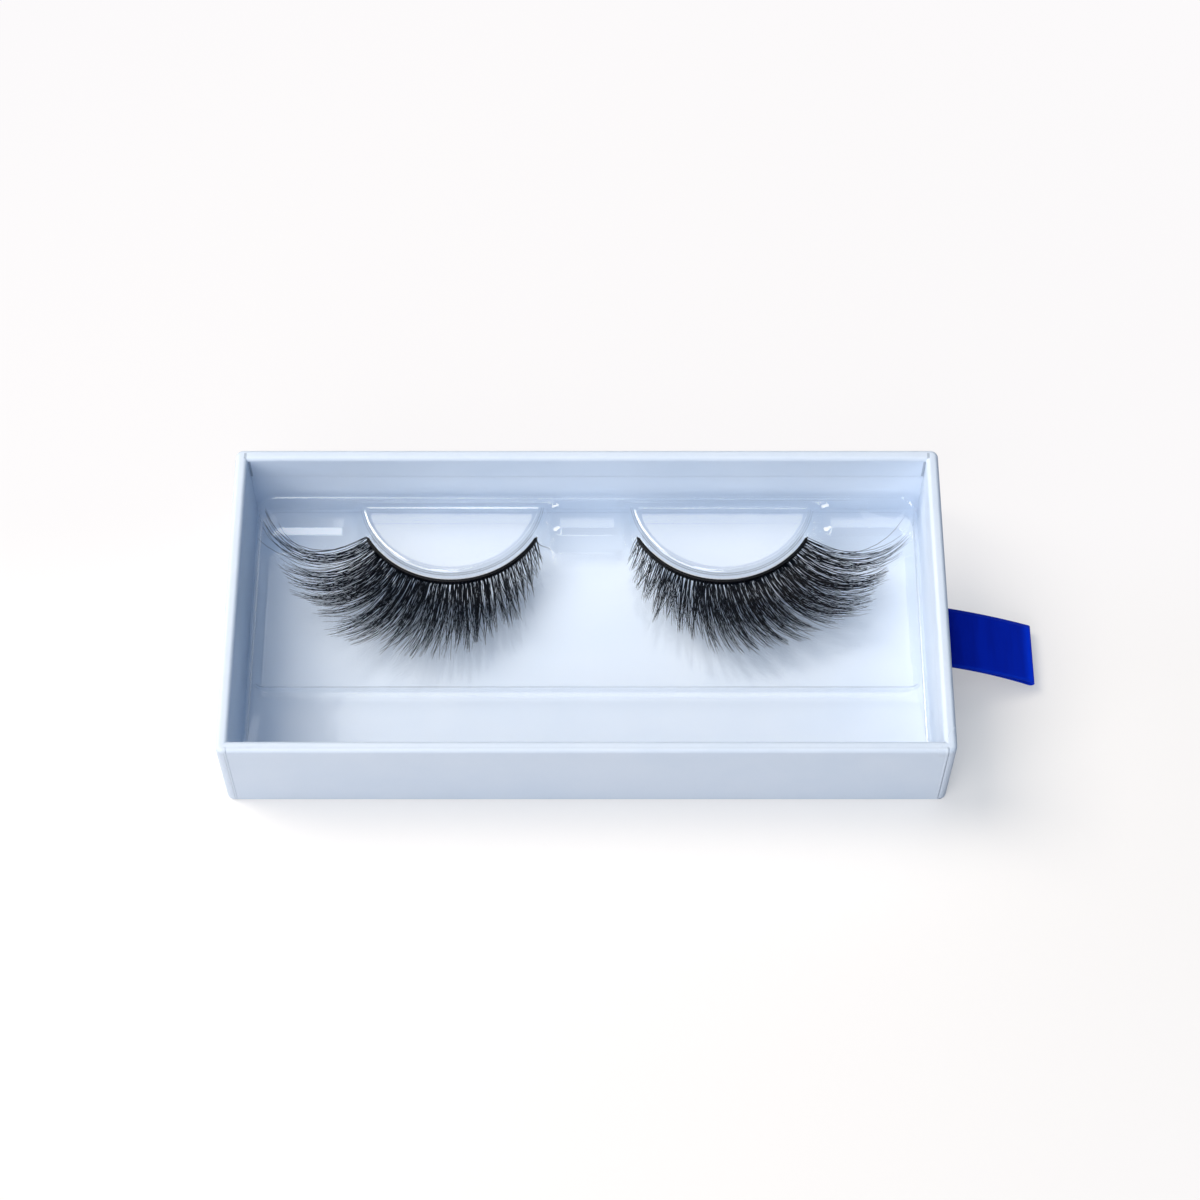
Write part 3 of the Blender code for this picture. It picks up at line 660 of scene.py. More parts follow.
bpy.context.scene.cycles.transparent_max_bounces = FACES_IN_A_RAY
clear_sheet = Finish("clear_sheet")
facing = clear_sheet.node("ShaderNodeLayerWeight", {}, {"Blend": 0.5}, "Facing")
across, deep, high = (clear_sheet.along(axis) for axis in range(3))
# Painted shade: grey lines along the ledge's edge into the recess and along the pads' rounded front edges,
# where the sheet also mirrors more.
ledge_shade_line = band(high, PLATEAU, LEDGE_HEIGHT) * band(deep * -1, -FRONT_Y, LEDGE_REACH)
from_pad = (across.size() - PAD_X) ** 2 + (deep - PAD_Y) ** 2
at_pad = 1 - from_pad.steps((PAD_RADIUS + 0.3 * MM) ** 2, (PAD_RADIUS + 0.5 * MM) ** 2)
in_front = 1 - past(deep, PAD_BACK, PAD_FRONT_REACH)
pad_shade_line = band(high, PLATEAU, PAD_BEND_HEIGHT) * at_pad * in_front
painted_bend_lines = ledge_shade_line + pad_shade_line
pad_top = past(high, PAD_TOP, PAD_TOP_HEIGHT)
mirror_share = FACE_REFLECTANCE + facing ** 5 * 0.6 + painted_bend_lines * 0.3 + pad_top * 0.06
forming = clear_sheet.noise(140.0, 1.0)
scratch = clear_sheet.noise(900.0, 4.0, 0.7, (1.0, 9.0, 1.0))
drawn = 1 - past(high, RECESS_FLOOR, DRAWN_HEIGHT)
flow = clear_sheet.bump(forming, 0.05 * MM, 0.5)
marks = clear_sheet.bump(scratch.steps(0.6, 0.8), 0.002 * MM, 0.4, flow)
clear_sheet.dress(
    Base_Color=clear_sheet.blend(painted_bend_lines, (0.95, 0.98, 1.0), PAINTED_BEND_SHADE),
    Metallic=1.0,
    Roughness=0.045 + scratch.steps(0.55, 0.8) * 0.06 + drawn * 0.11,
    Normal=marks,
)
see_through = clear_sheet.node("ShaderNodeBsdfTransparent", {}, {"Color": (0.996, 0.998, 1.0)})
mirrored = Signal(clear_sheet, clear_sheet.shader.outputs[0])
mixed = clear_sheet.node("ShaderNodeMixShader", {}, {0: mirror_share, 1: see_through, 2: mirrored})
clear_sheet.fill(clear_sheet.output.inputs["Surface"], mixed)
print("nodes in the clear sheet:", len(clear_sheet.tree.nodes))

# %% [markdown]
# ## Outlines of the insert
#
# Seen from above, the insert has three outlines: its rim, the recess and the two pads.
# The recess could be cut out with a Boolean, but then its bends would have no rings to round them.
# Each outline has only its corners, every one with its own radius.
# Limits on the recess's offsets keep its notches clear of the pads, and its rear and ends inside the rim.
# A pad's round front is spun, because a spun arc stays a true circle at every offset.

# %% Insert outlines
def insert_ring(offset, height):
    """The insert's outer wall in plan."""
    corners = grown(rectangle(INSERT_X, INSERT_Y), offset)
    return [(p.x, p.y, height) for p in rounded(corners, [INSERT_CORNER + offset] * 4, EDGE_STEPS)]


def recess_ring(offset, height):
    """The recess in plan: the open floor and a notch round each pad."""
    side = max(offset, -NOTCH_SIDE_ROOM)
    rear = min(max(offset, -NOTCH_BACK_ROOM), REAR_EASE)
    end_x, block_y = END_X + min(offset, END_EASE), BLOCK_Y + offset
    outer, inner, back = NOTCH_OUTER + side, NOTCH_INNER - side, NOTCH_BACK + rear
    one_side = [(end_x, block_y), (outer, block_y), (outer, back), (inner, back), (inner, block_y)]
    other_side = [(-x, y) for x, y in reversed(one_side)]
    front_y = FRONT_Y - offset
    corners = [(-end_x, front_y), (end_x, front_y)] + one_side + other_side
    wide, block, notch = WIDE_CORNER + offset, BLOCK_CORNER - offset, WIDE_CORNER + rear
    radii = [wide, block, notch, notch, block]
    return [(p.x, p.y, height) for p in rounded(corners, [wide, wide] + radii + radii[::-1], EDGE_STEPS)]


def pad_ring(side, offset, height):
    """A pad in plan: a circle, spun from one end of its flat back to the other, with two small corners."""
    centre = Vector((side * PAD_X, PAD_Y, 0.0))
    back = PAD_BACK + min(offset, PAD_BACK_ROOM) - PAD_Y
    radius = PAD_RADIUS + offset
    reach = math.sqrt(radius ** 2 - back ** 2)
    bm = bmesh.new()
    start = bm.verts.new(centre + Vector((reach, back, 0.0)))
    sweep = math.pi + 2 * math.asin(back / radius)
    bmesh.ops.spin(bm, geom=[start], cent=centre, axis=(0.0, 0.0, -1.0), angle=sweep, steps=PAD_STEPS)
    bmesh.ops.contextual_create(bm, geom=bm.edges[:])
    bm.verts.ensure_lookup_table()
    at_back = [v for v in bm.verts if abs(v.co.y - PAD_Y - back) < SMALLEST_RADIUS]
    corners = [v for v in at_back if abs(v.co.x - centre.x) > reach / 2]
    small = max(PAD_CORNER + offset, SMALLEST_RADIUS)
    bmesh.ops.bevel(
        bm,
        geom=corners,
        offset=small,
        segments=EDGE_STEPS,
        profile=0.5,
        affect="VERTICES",
        material=-1,
        clamp_overlap=False,
    )
    bm.normal_update()
    points = read_outline(bm.faces[:][0])
    bm.free()
    return [(p.x, p.y, height) for p in points]


# %% [markdown]
# ## Skin of the insert
#
# The real sheet is soft when it is drawn over its mould, so its walls lean and every bend is round.
# A low bead stiffens the rim and the pads, and the recess has a short slope round its upper edge.
# Those bends are what catches the lamps, so they are modelled, where a bevel on a box would look too even.
# One skin is drawn: up the outside, over the level top, down into the recess and up over each pad.
# Every wall is a set of rings, and the level areas are filled between them.

# %% Insert skin
SMALL_STEPS = 4
BEND_STEPS = 6
PAD_FOOT_STEPS = 3


def bead(start, height, width):
    """Offsets and heights over the small bead that stiffens a formed edge, from its crest inwards."""
    slope = ((0.0, 1.0), (0.25, 0.88), (0.5, 0.5), (0.75, 0.12), (1.0, 0.0))
    return [(start - width * across, height + BEAD_HEIGHT * up) for across, up in slope]


def sloped_edge():
    """Offsets and heights of the recess's upper edge: a tight bend, a short flat slope and a second bend."""
    lean = math.radians(SLOPE_LEAN)
    width = SHOULDER_RADIUS * (1 - math.sin(lean)) + SLOPE * math.cos(lean) + CREST_RADIUS * math.sin(lean)
    drop = CREST_RADIUS * (1 - math.cos(lean)) + (SLOPE * math.sin(lean) + SHOULDER_RADIUS * math.cos(lean))
    crest = quarter((width, PLATEAU - CREST_RADIUS), CREST_RADIUS, 90, 90 + SLOPE_LEAN, SMALL_STEPS)
    shoulder = (SHOULDER_RADIUS, PLATEAU - drop)
    return crest + quarter(shoulder, SHOULDER_RADIUS, 90 + SLOPE_LEAN, 180, BEND_STEPS)


def insert_skin():
    """The face of the insert that is seen, drawn ring by ring."""
    bm = bmesh.new()
    wall = [(DRAFT, SHEET_FOOT)]
    rim = (-TOP_RADIUS, PLATEAU + BEAD_HEIGHT - TOP_RADIUS)
    wall += quarter(rim, TOP_RADIUS, 0, 90, BEND_STEPS)
    wall += bead(-TOP_RADIUS, PLATEAU, RIM_BEAD_WIDTH)[1:]
    _, top_edge = draw_rings(bm, [insert_ring(*step) for step in wall])

    hollow = sloped_edge()
    foot = (-DRAFT - RECESS_FOOT_RADIUS, RECESS_FLOOR + RECESS_FOOT_RADIUS)
    hollow += quarter(foot, RECESS_FOOT_RADIUS, 0, -90, SMALL_STEPS)
    recess_top, recess_foot = draw_rings(bm, [recess_ring(*step) for step in hollow])
    fill(bm, top_edge + recess_top)

    floor_edges = list(recess_foot)
    for side in (-1, 1):
        foot = (PAD_DRAFT + PAD_FOOT_RADIUS, RECESS_FLOOR + PAD_FOOT_RADIUS)
        brow = (-FORM_RADIUS, PAD_TOP + BEAD_HEIGHT - FORM_RADIUS)
        rise = quarter(foot, PAD_FOOT_RADIUS, 270, 180, PAD_FOOT_STEPS)
        rise += quarter(brow, FORM_RADIUS, 0, 90, EDGE_STEPS)
        rise += bead(-FORM_RADIUS, PAD_TOP, BEAD_WIDTH)[1:]
        lowest, highest = draw_rings(bm, [pad_ring(side, *step) for step in rise])
        fill(bm, highest)
        floor_edges += lowest
    fill(bm, floor_edges)
    return bm


# %% [markdown]
# ## Thickness of the insert
#
# The sheet is 0.3 mm thick all over, near enough.
# Its second face could be drawn with rings of its own, but Solidify makes it from the first.
# It goes on the side away from the lashes, so the skin's faces have to point up before it does.

# %% Insert sheet
thicken = ("SOLIDIFY", {"thickness": SHEET, "offset": -1.0, "use_even_offset": True})
skin = insert_skin()
bmesh.ops.recalc_face_normals(skin, faces=skin.faces)
if max(skin.faces, key=lambda f: f.calc_center_median().z).normal.z < 0:
    bmesh.ops.reverse_faces(skin, faces=skin.faces)
insert_sheet = piece("insert_sheet", skin, clear_sheet, "insert", [thicken], turn_out=False)
keep_flats_flat(insert_sheet)
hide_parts("insert_tray")

# %% [markdown]
# ## The fan of a lash
#
# A strip lash is knotted from black fibre, a small bundle to each knot, on a cotton band.
# Towards the outer corner its hairs grow longer, sweep sideways and curl up.
# Combed hair curves could give that, but each of the two lashes has a sweep of its own to follow.
# So short tables give the hairs' directions and lengths at five places of the band.
# A hair between two of those places takes values between theirs, and bends most towards its tip.

# %% Fan of a lash
BAND_ANGLE = math.radians(62)
LONGEST_HAIR = 19.5 * MM
ROOT_ANGLES = {-1: (-16, -15, 2, 24, 56), 1: (-20, -15, 6, 27, 56)}
TIP_ANGLES = {-1: (-13, -12, 13, 86, 171), 1: (-23, -8, 42, 102, 151)}
LENGTH_SHARES = (0.26, 0.54, 0.78, 0.92, 1.0)
RISE_SHARES = (0.3, 0.4, 0.5, 0.75, 1.0)
FULL_RISE = math.radians(30)
BEND_POWER = 1.4
ROOT_TURN_SHARE = 0.4
TIP_TURN_SHARE = 0.6
FAN_STEPS = 12

band_low, band_high = (Vector(p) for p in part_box("lash_band_right"))
BAND_MIDDLE = (band_low.z + band_high.z) / 2
BAND_THICKNESS = 0.46 * MM
BAND_OUTER = PAD_Y - band_low.y
ROOT_RADIUS = BAND_OUTER - 0.08 * MM


def between(values, share):
    """A value between the entries of a table, at a share of the lash from its inner corner."""
    place = min(max(share, 0.0), 1.0) * (len(values) - 1)
    first = min(int(place), len(values) - 2)
    return values[first] + (values[first + 1] - values[first]) * (place - first)


def ease(value):
    """A smooth step from 0 to 1."""
    value = min(max(value, 0.0), 1.0)
    return value * value * (3 - 2 * value)


def fan_point(side, share, t, height, climb, turn):
    """A point of the fan: a share t along the line that starts at this share of the band."""
    angle = BAND_ANGLE * (2 * share - 1)
    out = PAD_X + ROOT_RADIUS * math.sin(angle)
    place = Vector((side * out, PAD_Y - ROOT_RADIUS * math.cos(angle), height))
    first = math.radians(between(ROOT_ANGLES[side], share) + turn * ROOT_TURN_SHARE)
    last = math.radians(between(TIP_ANGLES[side], share) + turn * (TIP_TURN_SHARE + share))
    rise = FULL_RISE * between(RISE_SHARES, share)
    length = LONGEST_HAIR * between(LENGTH_SHARES, share)
    steps = max(1, round(t * FAN_STEPS))
    for i in range(steps):
        here = t * (i + 0.5) / steps
        plan = first + (last - first) * here ** BEND_POWER
        lift = climb + rise * here
        heading = Vector((side * math.sin(plan), -math.cos(plan), 0.0)) * math.cos(lift)
        place += (heading + Vector((0.0, 0.0, math.sin(lift)))) * length * t / steps
    return place


# %% [markdown]
# ## Paths of the hairs
#
# The bundles are neat at the band, then fan out, cross their neighbours and draw together into soft spikes.
# Hairs placed evenly would look like a comb, and hairs placed at random like a brush.
# So each hair leaves its knot a little off the middle and leans towards a spike near to it.
# One hair in five keeps out of the spikes and strays, as on a real lash.
# The spreads are in knots, in spikes or in degrees, and most of them widen towards the outer corner.

# %% Paths of the hairs
KNOTS = 54
SPIKES = 46
HAIRS_PER_KNOT = 15
HAIR_RINGS = 11
LOOSE_SHARE = 0.2
CHOICE_SPREAD = 0.75 / SPIKES
STRAY_SPREAD = 1.6 / SPIKES
TIP_SPREADS = (0.14, 0.5)
ROOT_SPREADS = (0.3, 0.3)
WAIST_SPREAD = 0.5
WAIST_PLACE = 1.15
WAIST_POWER = 0.7
SHORTEST_LOSS = 0.42
LOSS_POWER = 2.2
TURN_SPREAD = 2.0
STRAY_TURN = 8.0
LAYER_CLIMB = math.radians(4.5)
CLIMB_SPREAD = math.radians(1.5)
LAYER_HEIGHT = 0.26 * MM


def hair_path(side, rng, root, spikes):
    """The points of one hair: from its knot, out into the fan and in towards the tip of a spike."""
    loose = rng.random() < LOOSE_SHARE
    wanted = root + rng.gauss(0.0, CHOICE_SPREAD)
    spike = min(max(round(wanted * SPIKES - 0.5), 0), SPIKES - 1)
    tip, reach, lean = spikes[spike]
    spread = TIP_SPREADS[0] + TIP_SPREADS[1] * ease((root - 0.75) / 0.2)
    tip += rng.uniform(-1, 1) * spread / SPIKES
    reach *= 1 - SHORTEST_LOSS * rng.random() ** LOSS_POWER
    turn = lean + rng.gauss(0.0, TURN_SPREAD)
    if loose:
        tip = root + rng.gauss(0.0, STRAY_SPREAD)
        turn += rng.gauss(0.0, STRAY_TURN) * (0.25 + 0.75 * ease(root * 4))
    fan = rng.uniform(-1, 1) * WAIST_SPREAD / KNOTS
    spread = ROOT_SPREADS[0] + ROOT_SPREADS[1] * ease((root - 0.5) / 0.25)
    start = root + rng.uniform(-1, 1) * spread / KNOTS
    layer = rng.uniform(-1, 1)
    climb = LAYER_CLIMB * layer + rng.gauss(0.0, CLIMB_SPREAD)
    height = BAND_MIDDLE + layer * LAYER_HEIGHT
    points = []
    for i in range(HAIR_RINGS):
        t = reach * i / (HAIR_RINGS - 1)
        waist = math.sin(math.pi * min(1.0, t * WAIST_PLACE) ** WAIST_POWER)
        share = start + (tip - start) * ease(t) + fan * waist
        points.append(fan_point(side, share, t, height, climb, turn))
    return points


def knot_hairs(side, rng, knot, spikes):
    """The hairs of one knot, fewer at both ends of the lash, and how pale each of them is."""
    share = (knot + 0.5) / KNOTS
    count = HAIRS_PER_KNOT * (0.25 + 0.75 * ease(share * 2.1)) * (1 - 0.45 * ease((share - 0.84) / 0.16))
    return [(hair_path(side, rng, share, spikes), rng.random()) for _ in range(round(count))]


# %% [markdown]
# ## Growing the hairs
#
# A fibre is round and thins to a point, but at this size three sides look just as round.
# A curve with a bevel could be made for each hair, but hundreds of curves are slow to turn into meshes.
# So all the hairs of a lash are grown in one mesh, one ring at a time, from a triangle at each root.
# One number on each face says which hair it belongs to, and one on each point says how pale that hair is.

# %% Growing the hairs
HAIR_RADIUS = 0.057 * MM
TIP_RADIUS = 0.021 * MM
TAPER_POWER = 2.4
SPIKE_OFF_MIDDLE = 0.25
SHORTEST_SPIKE = 0.84
SPIKE_LEAN = 4.0


def grow_hairs(side, name):
    """Every hair of a lash, grown ring by ring from a triangle at its root."""
    rng = random.Random(name)
    spikes = []
    for i in range(SPIKES):
        tip = (i + 0.5 + rng.uniform(-SPIKE_OFF_MIDDLE, SPIKE_OFF_MIDDLE)) / SPIKES
        spikes.append((tip, rng.uniform(SHORTEST_SPIKE, 1.0), rng.gauss(0.0, SPIKE_LEAN)))
    hairs = [hair for knot in range(KNOTS) for hair in knot_hairs(side, rng, knot, spikes)]
    bm = bmesh.new()
    number = bm.faces.layers.int.new("hair")
    tone = bm.verts.layers.float.new("tone")

    def place_ring(face, hair, ring):
        points, shade = hairs[hair]
        along = (points[min(ring + 1, HAIR_RINGS - 1)] - points[max(ring - 1, 0)]).normalized()
        level = along.cross(Vector((0.0, 0.0, 1.0))).normalized()
        upright = level.cross(along)
        t = ring / (HAIR_RINGS - 1)
        radius = HAIR_RADIUS + (TIP_RADIUS - HAIR_RADIUS) * t ** TAPER_POWER
        for corner, vert in enumerate(face.verts):
            angle = math.radians(90 + 120 * corner)
            vert.co = points[ring] + level * math.cos(angle) * radius + upright * math.sin(angle) * radius
            vert[tone] = shade

    faces = []
    for hair in range(len(hairs)):
        face = bm.faces.new([bm.verts.new() for _ in range(3)])
        face[number] = hair
        place_ring(face, hair, 0)
        faces.append(face)
    for ring in range(1, HAIR_RINGS):
        faces = bmesh.ops.extrude_discrete_faces(bm, faces=faces)["faces"]
        for face in faces:
            place_ring(face, face[number], ring)
    open_edges = [edge for edge in bm.edges if edge.is_boundary]
    bmesh.ops.holes_fill(bm, edges=open_edges, sides=3)
    print(name, "has", len(hairs), "hairs")
    return bm


# %% [markdown]
# ## Hair finish
#
# The fibre is soft and black, with a bluish sheen that is no more than a hint.
# Blender has a hair shader, but it is meant for hair curves, and a baked model can't carry it.
# A near-black Principled shader does as well, with each hair a little paler or duller than the next.

# %% Hair finish
black_hair = Finish("black_hair")
strand_tone = black_hair.node("ShaderNodeAttribute", {"attribute_name": "tone"}, {}, "Fac")
streak = black_hair.noise(2600.0, 2.0)
paleness = strand_tone ** 2 * 0.7 + streak * 0.3
black_hair.dress(
    Base_Color=black_hair.blend(paleness, (0.0006, 0.002, 0.006), (0.004, 0.007, 0.014)),
    Roughness=0.3 + strand_tone * 0.15,
    Specular_IOR_Level=0.12,
)

for side, word in ((-1, "left"), (1, "right")):
    hairs = grow_hairs(side, "lash_hairs_" + word)
    lash_hairs = piece("lash_hairs_" + word, hairs, black_hair, word + "_lash")
    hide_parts("lash_fibres_" + word)

# %% [markdown]
# ## Lash band
#
# The band is a flat black cotton cord that the hairs are knotted to, stiff and slightly shiny with glue.
# A curve with that section as its bevel would follow the pad too, but it has no knots and blunt ends.
# So a small rounded section is spun round the pad, which makes one even strip, and its points are moved.
# The knots lift it a little where each bundle is tied, and it narrows towards its two ends.

# %% Band
BAND_STEPS = 216
BAND_ROUND = 0.16 * MM
BAND_SWELL = 0.12 * MM
BAND_ROUND_STEPS = 3
BAND_END_SHARE = 0.05
BAND_END_SIZE_SHARE = 0.35


def spin_band(side):
    """A rounded section, spun round the front of a pad, with shallow knots."""
    bm = bmesh.new()
    centre = Vector((side * PAD_X, PAD_Y, BAND_MIDDLE))
    half_height = (band_high.z - band_low.z) / 2 + BAND_SWELL
    middle = BAND_OUTER + BAND_SWELL - BAND_THICKNESS / 2
    corners = rectangle(BAND_THICKNESS / 2, half_height)
    outline = rounded(corners, [BAND_ROUND] * 4, BAND_ROUND_STEPS)
    start = Matrix.Rotation(side * BAND_ANGLE * -1, 3, "Z")
    section = []
    for p in outline:
        spot = start @ Vector((0.0, -(middle + p.x), p.y))
        section.append(bm.verts.new(centre + spot))
    face = bm.faces.new(section)
    sweep = side * 2 * BAND_ANGLE
    bmesh.ops.spin(bm, geom=[face], cent=centre, axis=(0.0, 0.0, 1.0), angle=sweep, steps=BAND_STEPS)
    for vert in bm.verts:
        away = vert.co - centre
        angle = math.atan2(side * away.x, -away.y)
        share = (angle / BAND_ANGLE + 1) / 2
        knot = 0.5 + 0.5 * math.cos(2 * math.pi * share * KNOTS)
        end = min(1.0, ease((1 - abs(angle) / BAND_ANGLE) / BAND_END_SHARE) + BAND_END_SIZE_SHARE)
        outwards = Vector((away.x, away.y, 0.0)).normalized()
        radial = away.x * outwards.x + away.y * outwards.y - middle
        vert.co -= outwards * radial * (1 - end * (0.94 + 0.06 * knot))
        vert.co.z = centre.z + away.z * end * (0.93 + 0.07 * knot)
    return bm


black_cotton = Finish("black_cotton")
yarn = black_cotton.noise(3800.0, 3.0, 0.6)
black_cotton.dress(
    Base_Color=black_cotton.blend(yarn, (0.001, 0.001, 0.002), (0.006, 0.007, 0.01)),
    Roughness=0.42 + yarn * 0.2,
    Normal=black_cotton.bump(yarn, 0.02 * MM, 0.6),
    Specular_IOR_Level=0.2,
)
for side, word in ((-1, "left"), (1, "right")):
    thread = piece("lash_band_thread_" + word, spin_band(side), black_cotton, word + "_lash")
    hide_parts("lash_band_" + word)

# %% [markdown]
# ## Pull ribbon
#
# The pull is a strip of royal blue satin ribbon, 10 mm wide and 44 mm long, folded once at its middle.
# Both its ends go in through the slit and down between the board and the lining, where they are glued.
# A cloth simulation could drop it into place, but a short stiff ribbon hardly sags, and a line is enough.
# The line follows the middle of the two layers, with half the gap between them at each point.
# One layer then lies on either side of it, and an arc closes the fold at the tip.

# %% Ribbon line
RIBBON_THICKNESS = 0.22 * MM
LAYER_HALF_GAP = 0.135 * MM
FOLD_HALF_GAP = 0.45 * MM
TAIL_X = 53.52 * MM
TAIL_FOOT = 3.4 * MM
TAIL_BEND = 0.35 * MM
LOOP_ROOT = Vector((55.32 * MM, RIBBON_HEIGHT))
LOOP_TIP = Vector((69.15 * MM, 1.9 * MM))
LOOP_SAG_SHARE = 0.35
LOOP_SAG = LOOP_SAG_SHARE * (LOOP_ROOT.y - LOOP_TIP.y)
LOOP_BEND = Vector(((LOOP_ROOT.x + LOOP_TIP.x) / 2, LOOP_ROOT.y - LOOP_SAG))
TAIL_STEPS = 4
TAIL_BEND_STEPS = 6
SLIT_STEPS = 5
LOOP_STEPS = 24
FOLD_STEPS = 10


def ribbon_layers():
    """The middle line of the folded ribbon in X and Z, and half the gap between its layers there."""
    tail_top = RIBBON_HEIGHT - TAIL_BEND
    line = []
    for i in range(TAIL_STEPS + 1):
        height = TAIL_FOOT + (tail_top - TAIL_FOOT) * i / TAIL_STEPS
        line.append((Vector((TAIL_X, height)), RIBBON_THICKNESS / 2))
    for x, z in quarter((TAIL_X + TAIL_BEND, tail_top), TAIL_BEND, 180, 90, TAIL_BEND_STEPS)[1:]:
        line.append((Vector((x, z)), RIBBON_THICKNESS / 2))
    bend_end = line[-1][0]
    for i in range(1, SLIT_STEPS):
        line.append((bend_end.lerp(LOOP_ROOT, i / SLIT_STEPS), RIBBON_THICKNESS / 2))
    for i in range(LOOP_STEPS + 1):
        t = i / LOOP_STEPS
        spot = LOOP_ROOT * (1 - t) ** 2 + LOOP_BEND * 2 * t * (1 - t) + LOOP_TIP * t ** 2
        line.append((spot, LAYER_HALF_GAP + (FOLD_HALF_GAP - LAYER_HALF_GAP) * t ** 2))
    return line


def ribbon_line():
    """The line of one layer: out along the lower side, round the fold and back along the upper side."""
    line = ribbon_layers()
    upper, lower = [], []
    for i, (spot, gap) in enumerate(line):
        along = (line[min(i + 1, len(line) - 1)][0] - line[max(i - 1, 0)][0]).normalized()
        across = Vector((-along.y, along.x))
        upper.append(spot + across * gap)
        lower.append(spot - across * gap)
    lean = math.degrees(math.atan2(along.y, along.x))
    fold = [Vector(p) for p in quarter(line[-1][0], FOLD_HALF_GAP, lean - 90, lean + 90, FOLD_STEPS)]
    return lower + fold[1:-1] + upper[::-1]


# %% [markdown]
# ## Ribbon cloth
#
# Cloth is woven flat, so it is made flat here too: a grid of 240 by 14 faces with its own flat map.
# Each row of the grid is then carried to its place along the line, without any stretch.
# A grid bent afterwards by a modifier would need a curve as well, and its folds would be harder to place.

# %% Ribbon cloth
RIBBON_ROWS = 240
RIBBON_COLUMNS = 14


def walk(line, share):
    """The point at a share of a line's length."""
    lengths = [(b - a).length for a, b in zip(line, line[1:])]
    left = sum(lengths) * share
    for start, end, length in zip(line, line[1:], lengths):
        if left <= length:
            return start.lerp(end, left / length)
        left -= length
    return line[-1].copy()


line = ribbon_line()
RIBBON_LENGTH = sum((b - a).length for a, b in zip(line, line[1:]))
ribbon_mesh = bmesh.new()
ribbon_mesh.loops.layers.uv.new("UVMap")
bmesh.ops.create_grid(ribbon_mesh, x_segments=RIBBON_ROWS, y_segments=RIBBON_COLUMNS, size=0.5, calc_uvs=True)
for vert in ribbon_mesh.verts:
    spot = walk(line, vert.co.x + 0.5)
    vert.co = Vector((spot.x, RIBBON_ACROSS + vert.co.y * RIBBON_WIDTH, spot.y))
print("ribbon length in mm:", round(RIBBON_LENGTH / MM, 1))

# %% [markdown]
# ## Satin ribbon finish
#
# Satin threads lie long and close with few crossings, and the sheen is painted into the colour as soft lighter
# bands across the ribbon, which are also a little rougher.
# A picture of satin would need a file, and two sine waves on the flat map draw the same fine threads.
# The woven edge is a little lighter, and the crest of the fold has a painted highlight where the threads catch
# the light.

# %% Satin ribbon finish
WEFT_THREADS = 190
WARP_THREADS = 64

satin_ribbon = Finish("blue_ribbon")
flat_place = satin_ribbon.node("ShaderNodeTexCoord", {}, {}, "UV")
across_ribbon = satin_ribbon.node("ShaderNodeSeparateXYZ", {}, {"Vector": flat_place}, 1)
along_ribbon = satin_ribbon.node("ShaderNodeSeparateXYZ", {}, {"Vector": flat_place}, 0)
weft = (along_ribbon * (2 * math.pi * WEFT_THREADS)).sine()
warp = (across_ribbon * (2 * math.pi * WARP_THREADS)).sine()
from_middle = (across_ribbon - 0.5).size()
selvedge = from_middle.steps(0.44, 0.47)
threads = weft * 0.5 + warp * 0.5
# Painted sheen: soft lighter bands of blue across the ribbon, which also make it a little rougher there.
painted_sheen_and_roughness = satin_ribbon.noise(420.0, 3.0, 0.55, (1.0, 0.12, 1.0))
blue = satin_ribbon.blend(painted_sheen_and_roughness.steps(0.3, 0.75), (0.0, 0.015, 0.43), (0.0, 0.023, 0.56))
# Painted highlight: the crest of the fold is a lighter blue.
from_fold = (along_ribbon - 0.5).size()
crest = 1 - from_fold.steps(0.012, 0.05)
lit_blue = satin_ribbon.blend(crest, blue, (0.0, 0.044, 0.87))
satin_ribbon.dress(
    Base_Color=satin_ribbon.blend(selvedge * 0.6, lit_blue, (0.004, 0.04, 0.62)),
    Roughness=0.42 + painted_sheen_and_roughness * 0.16,
    Normal=satin_ribbon.bump(threads, 0.012 * MM, 0.5),
    Specular_IOR_Level=0.07,
)

# %% [markdown]
# ## The ribbon in its place
#
# Solidify gives the cloth its thickness, and leaves a little air between its layers.
# The real ribbon is glued in the wall and bends just outside it.
# It could be parted there, but the two parts would come apart when the pull swings.
# So it stays one piece, with its place baked into its points, and it is not set to ride on any body.

# %% Finished ribbon
CLOTH_THICKNESS = RIBBON_THICKNESS * 0.9

thicken_ribbon = ("SOLIDIFY", {"thickness": CLOTH_THICKNESS, "offset": 0.0, "use_even_offset": True})
ribbon_cloth = piece("ribbon_cloth", ribbon_mesh, satin_ribbon, None, [thicken_ribbon])
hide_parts("ribbon_loop", "ribbon_tail")
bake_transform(ribbon_cloth)

# %% [markdown]
# ## Boards, stays and tack
#
# Greyboard is pressed waste paper with flecks, the stays are gummed kraft tape, and the tack is milky glue.
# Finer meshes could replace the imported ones, but those have the right shape already.
# The papers hide nearly all of them, so they keep their meshes and get a finish of their own.

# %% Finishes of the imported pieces
greyboard = Finish("greyboard")
fleck = greyboard.noise(2400.0, 4.0, 0.65)
layers = greyboard.noise(700.0, 2.0, 0.5, (1.0, 1.0, 5.0))
greyboard.dress(
    Base_Color=greyboard.blend(fleck * 0.6 + layers * 0.4, (0.22, 0.20, 0.18), (0.46, 0.43, 0.39)),
    Roughness=0.85 + fleck * 0.1,
    Normal=greyboard.bump(fleck, 0.03 * MM, 0.7),
)

kraft_tape = Finish("stay_tape")
pulp = kraft_tape.noise(3000.0, 4.0, 0.6)
kraft_tape.dress(
    Base_Color=kraft_tape.blend(pulp, (0.42, 0.27, 0.15), (0.58, 0.40, 0.24)),
    Roughness=0.6 + pulp * 0.2,
    Normal=kraft_tape.bump(pulp, 0.01 * MM, 0.6),
)

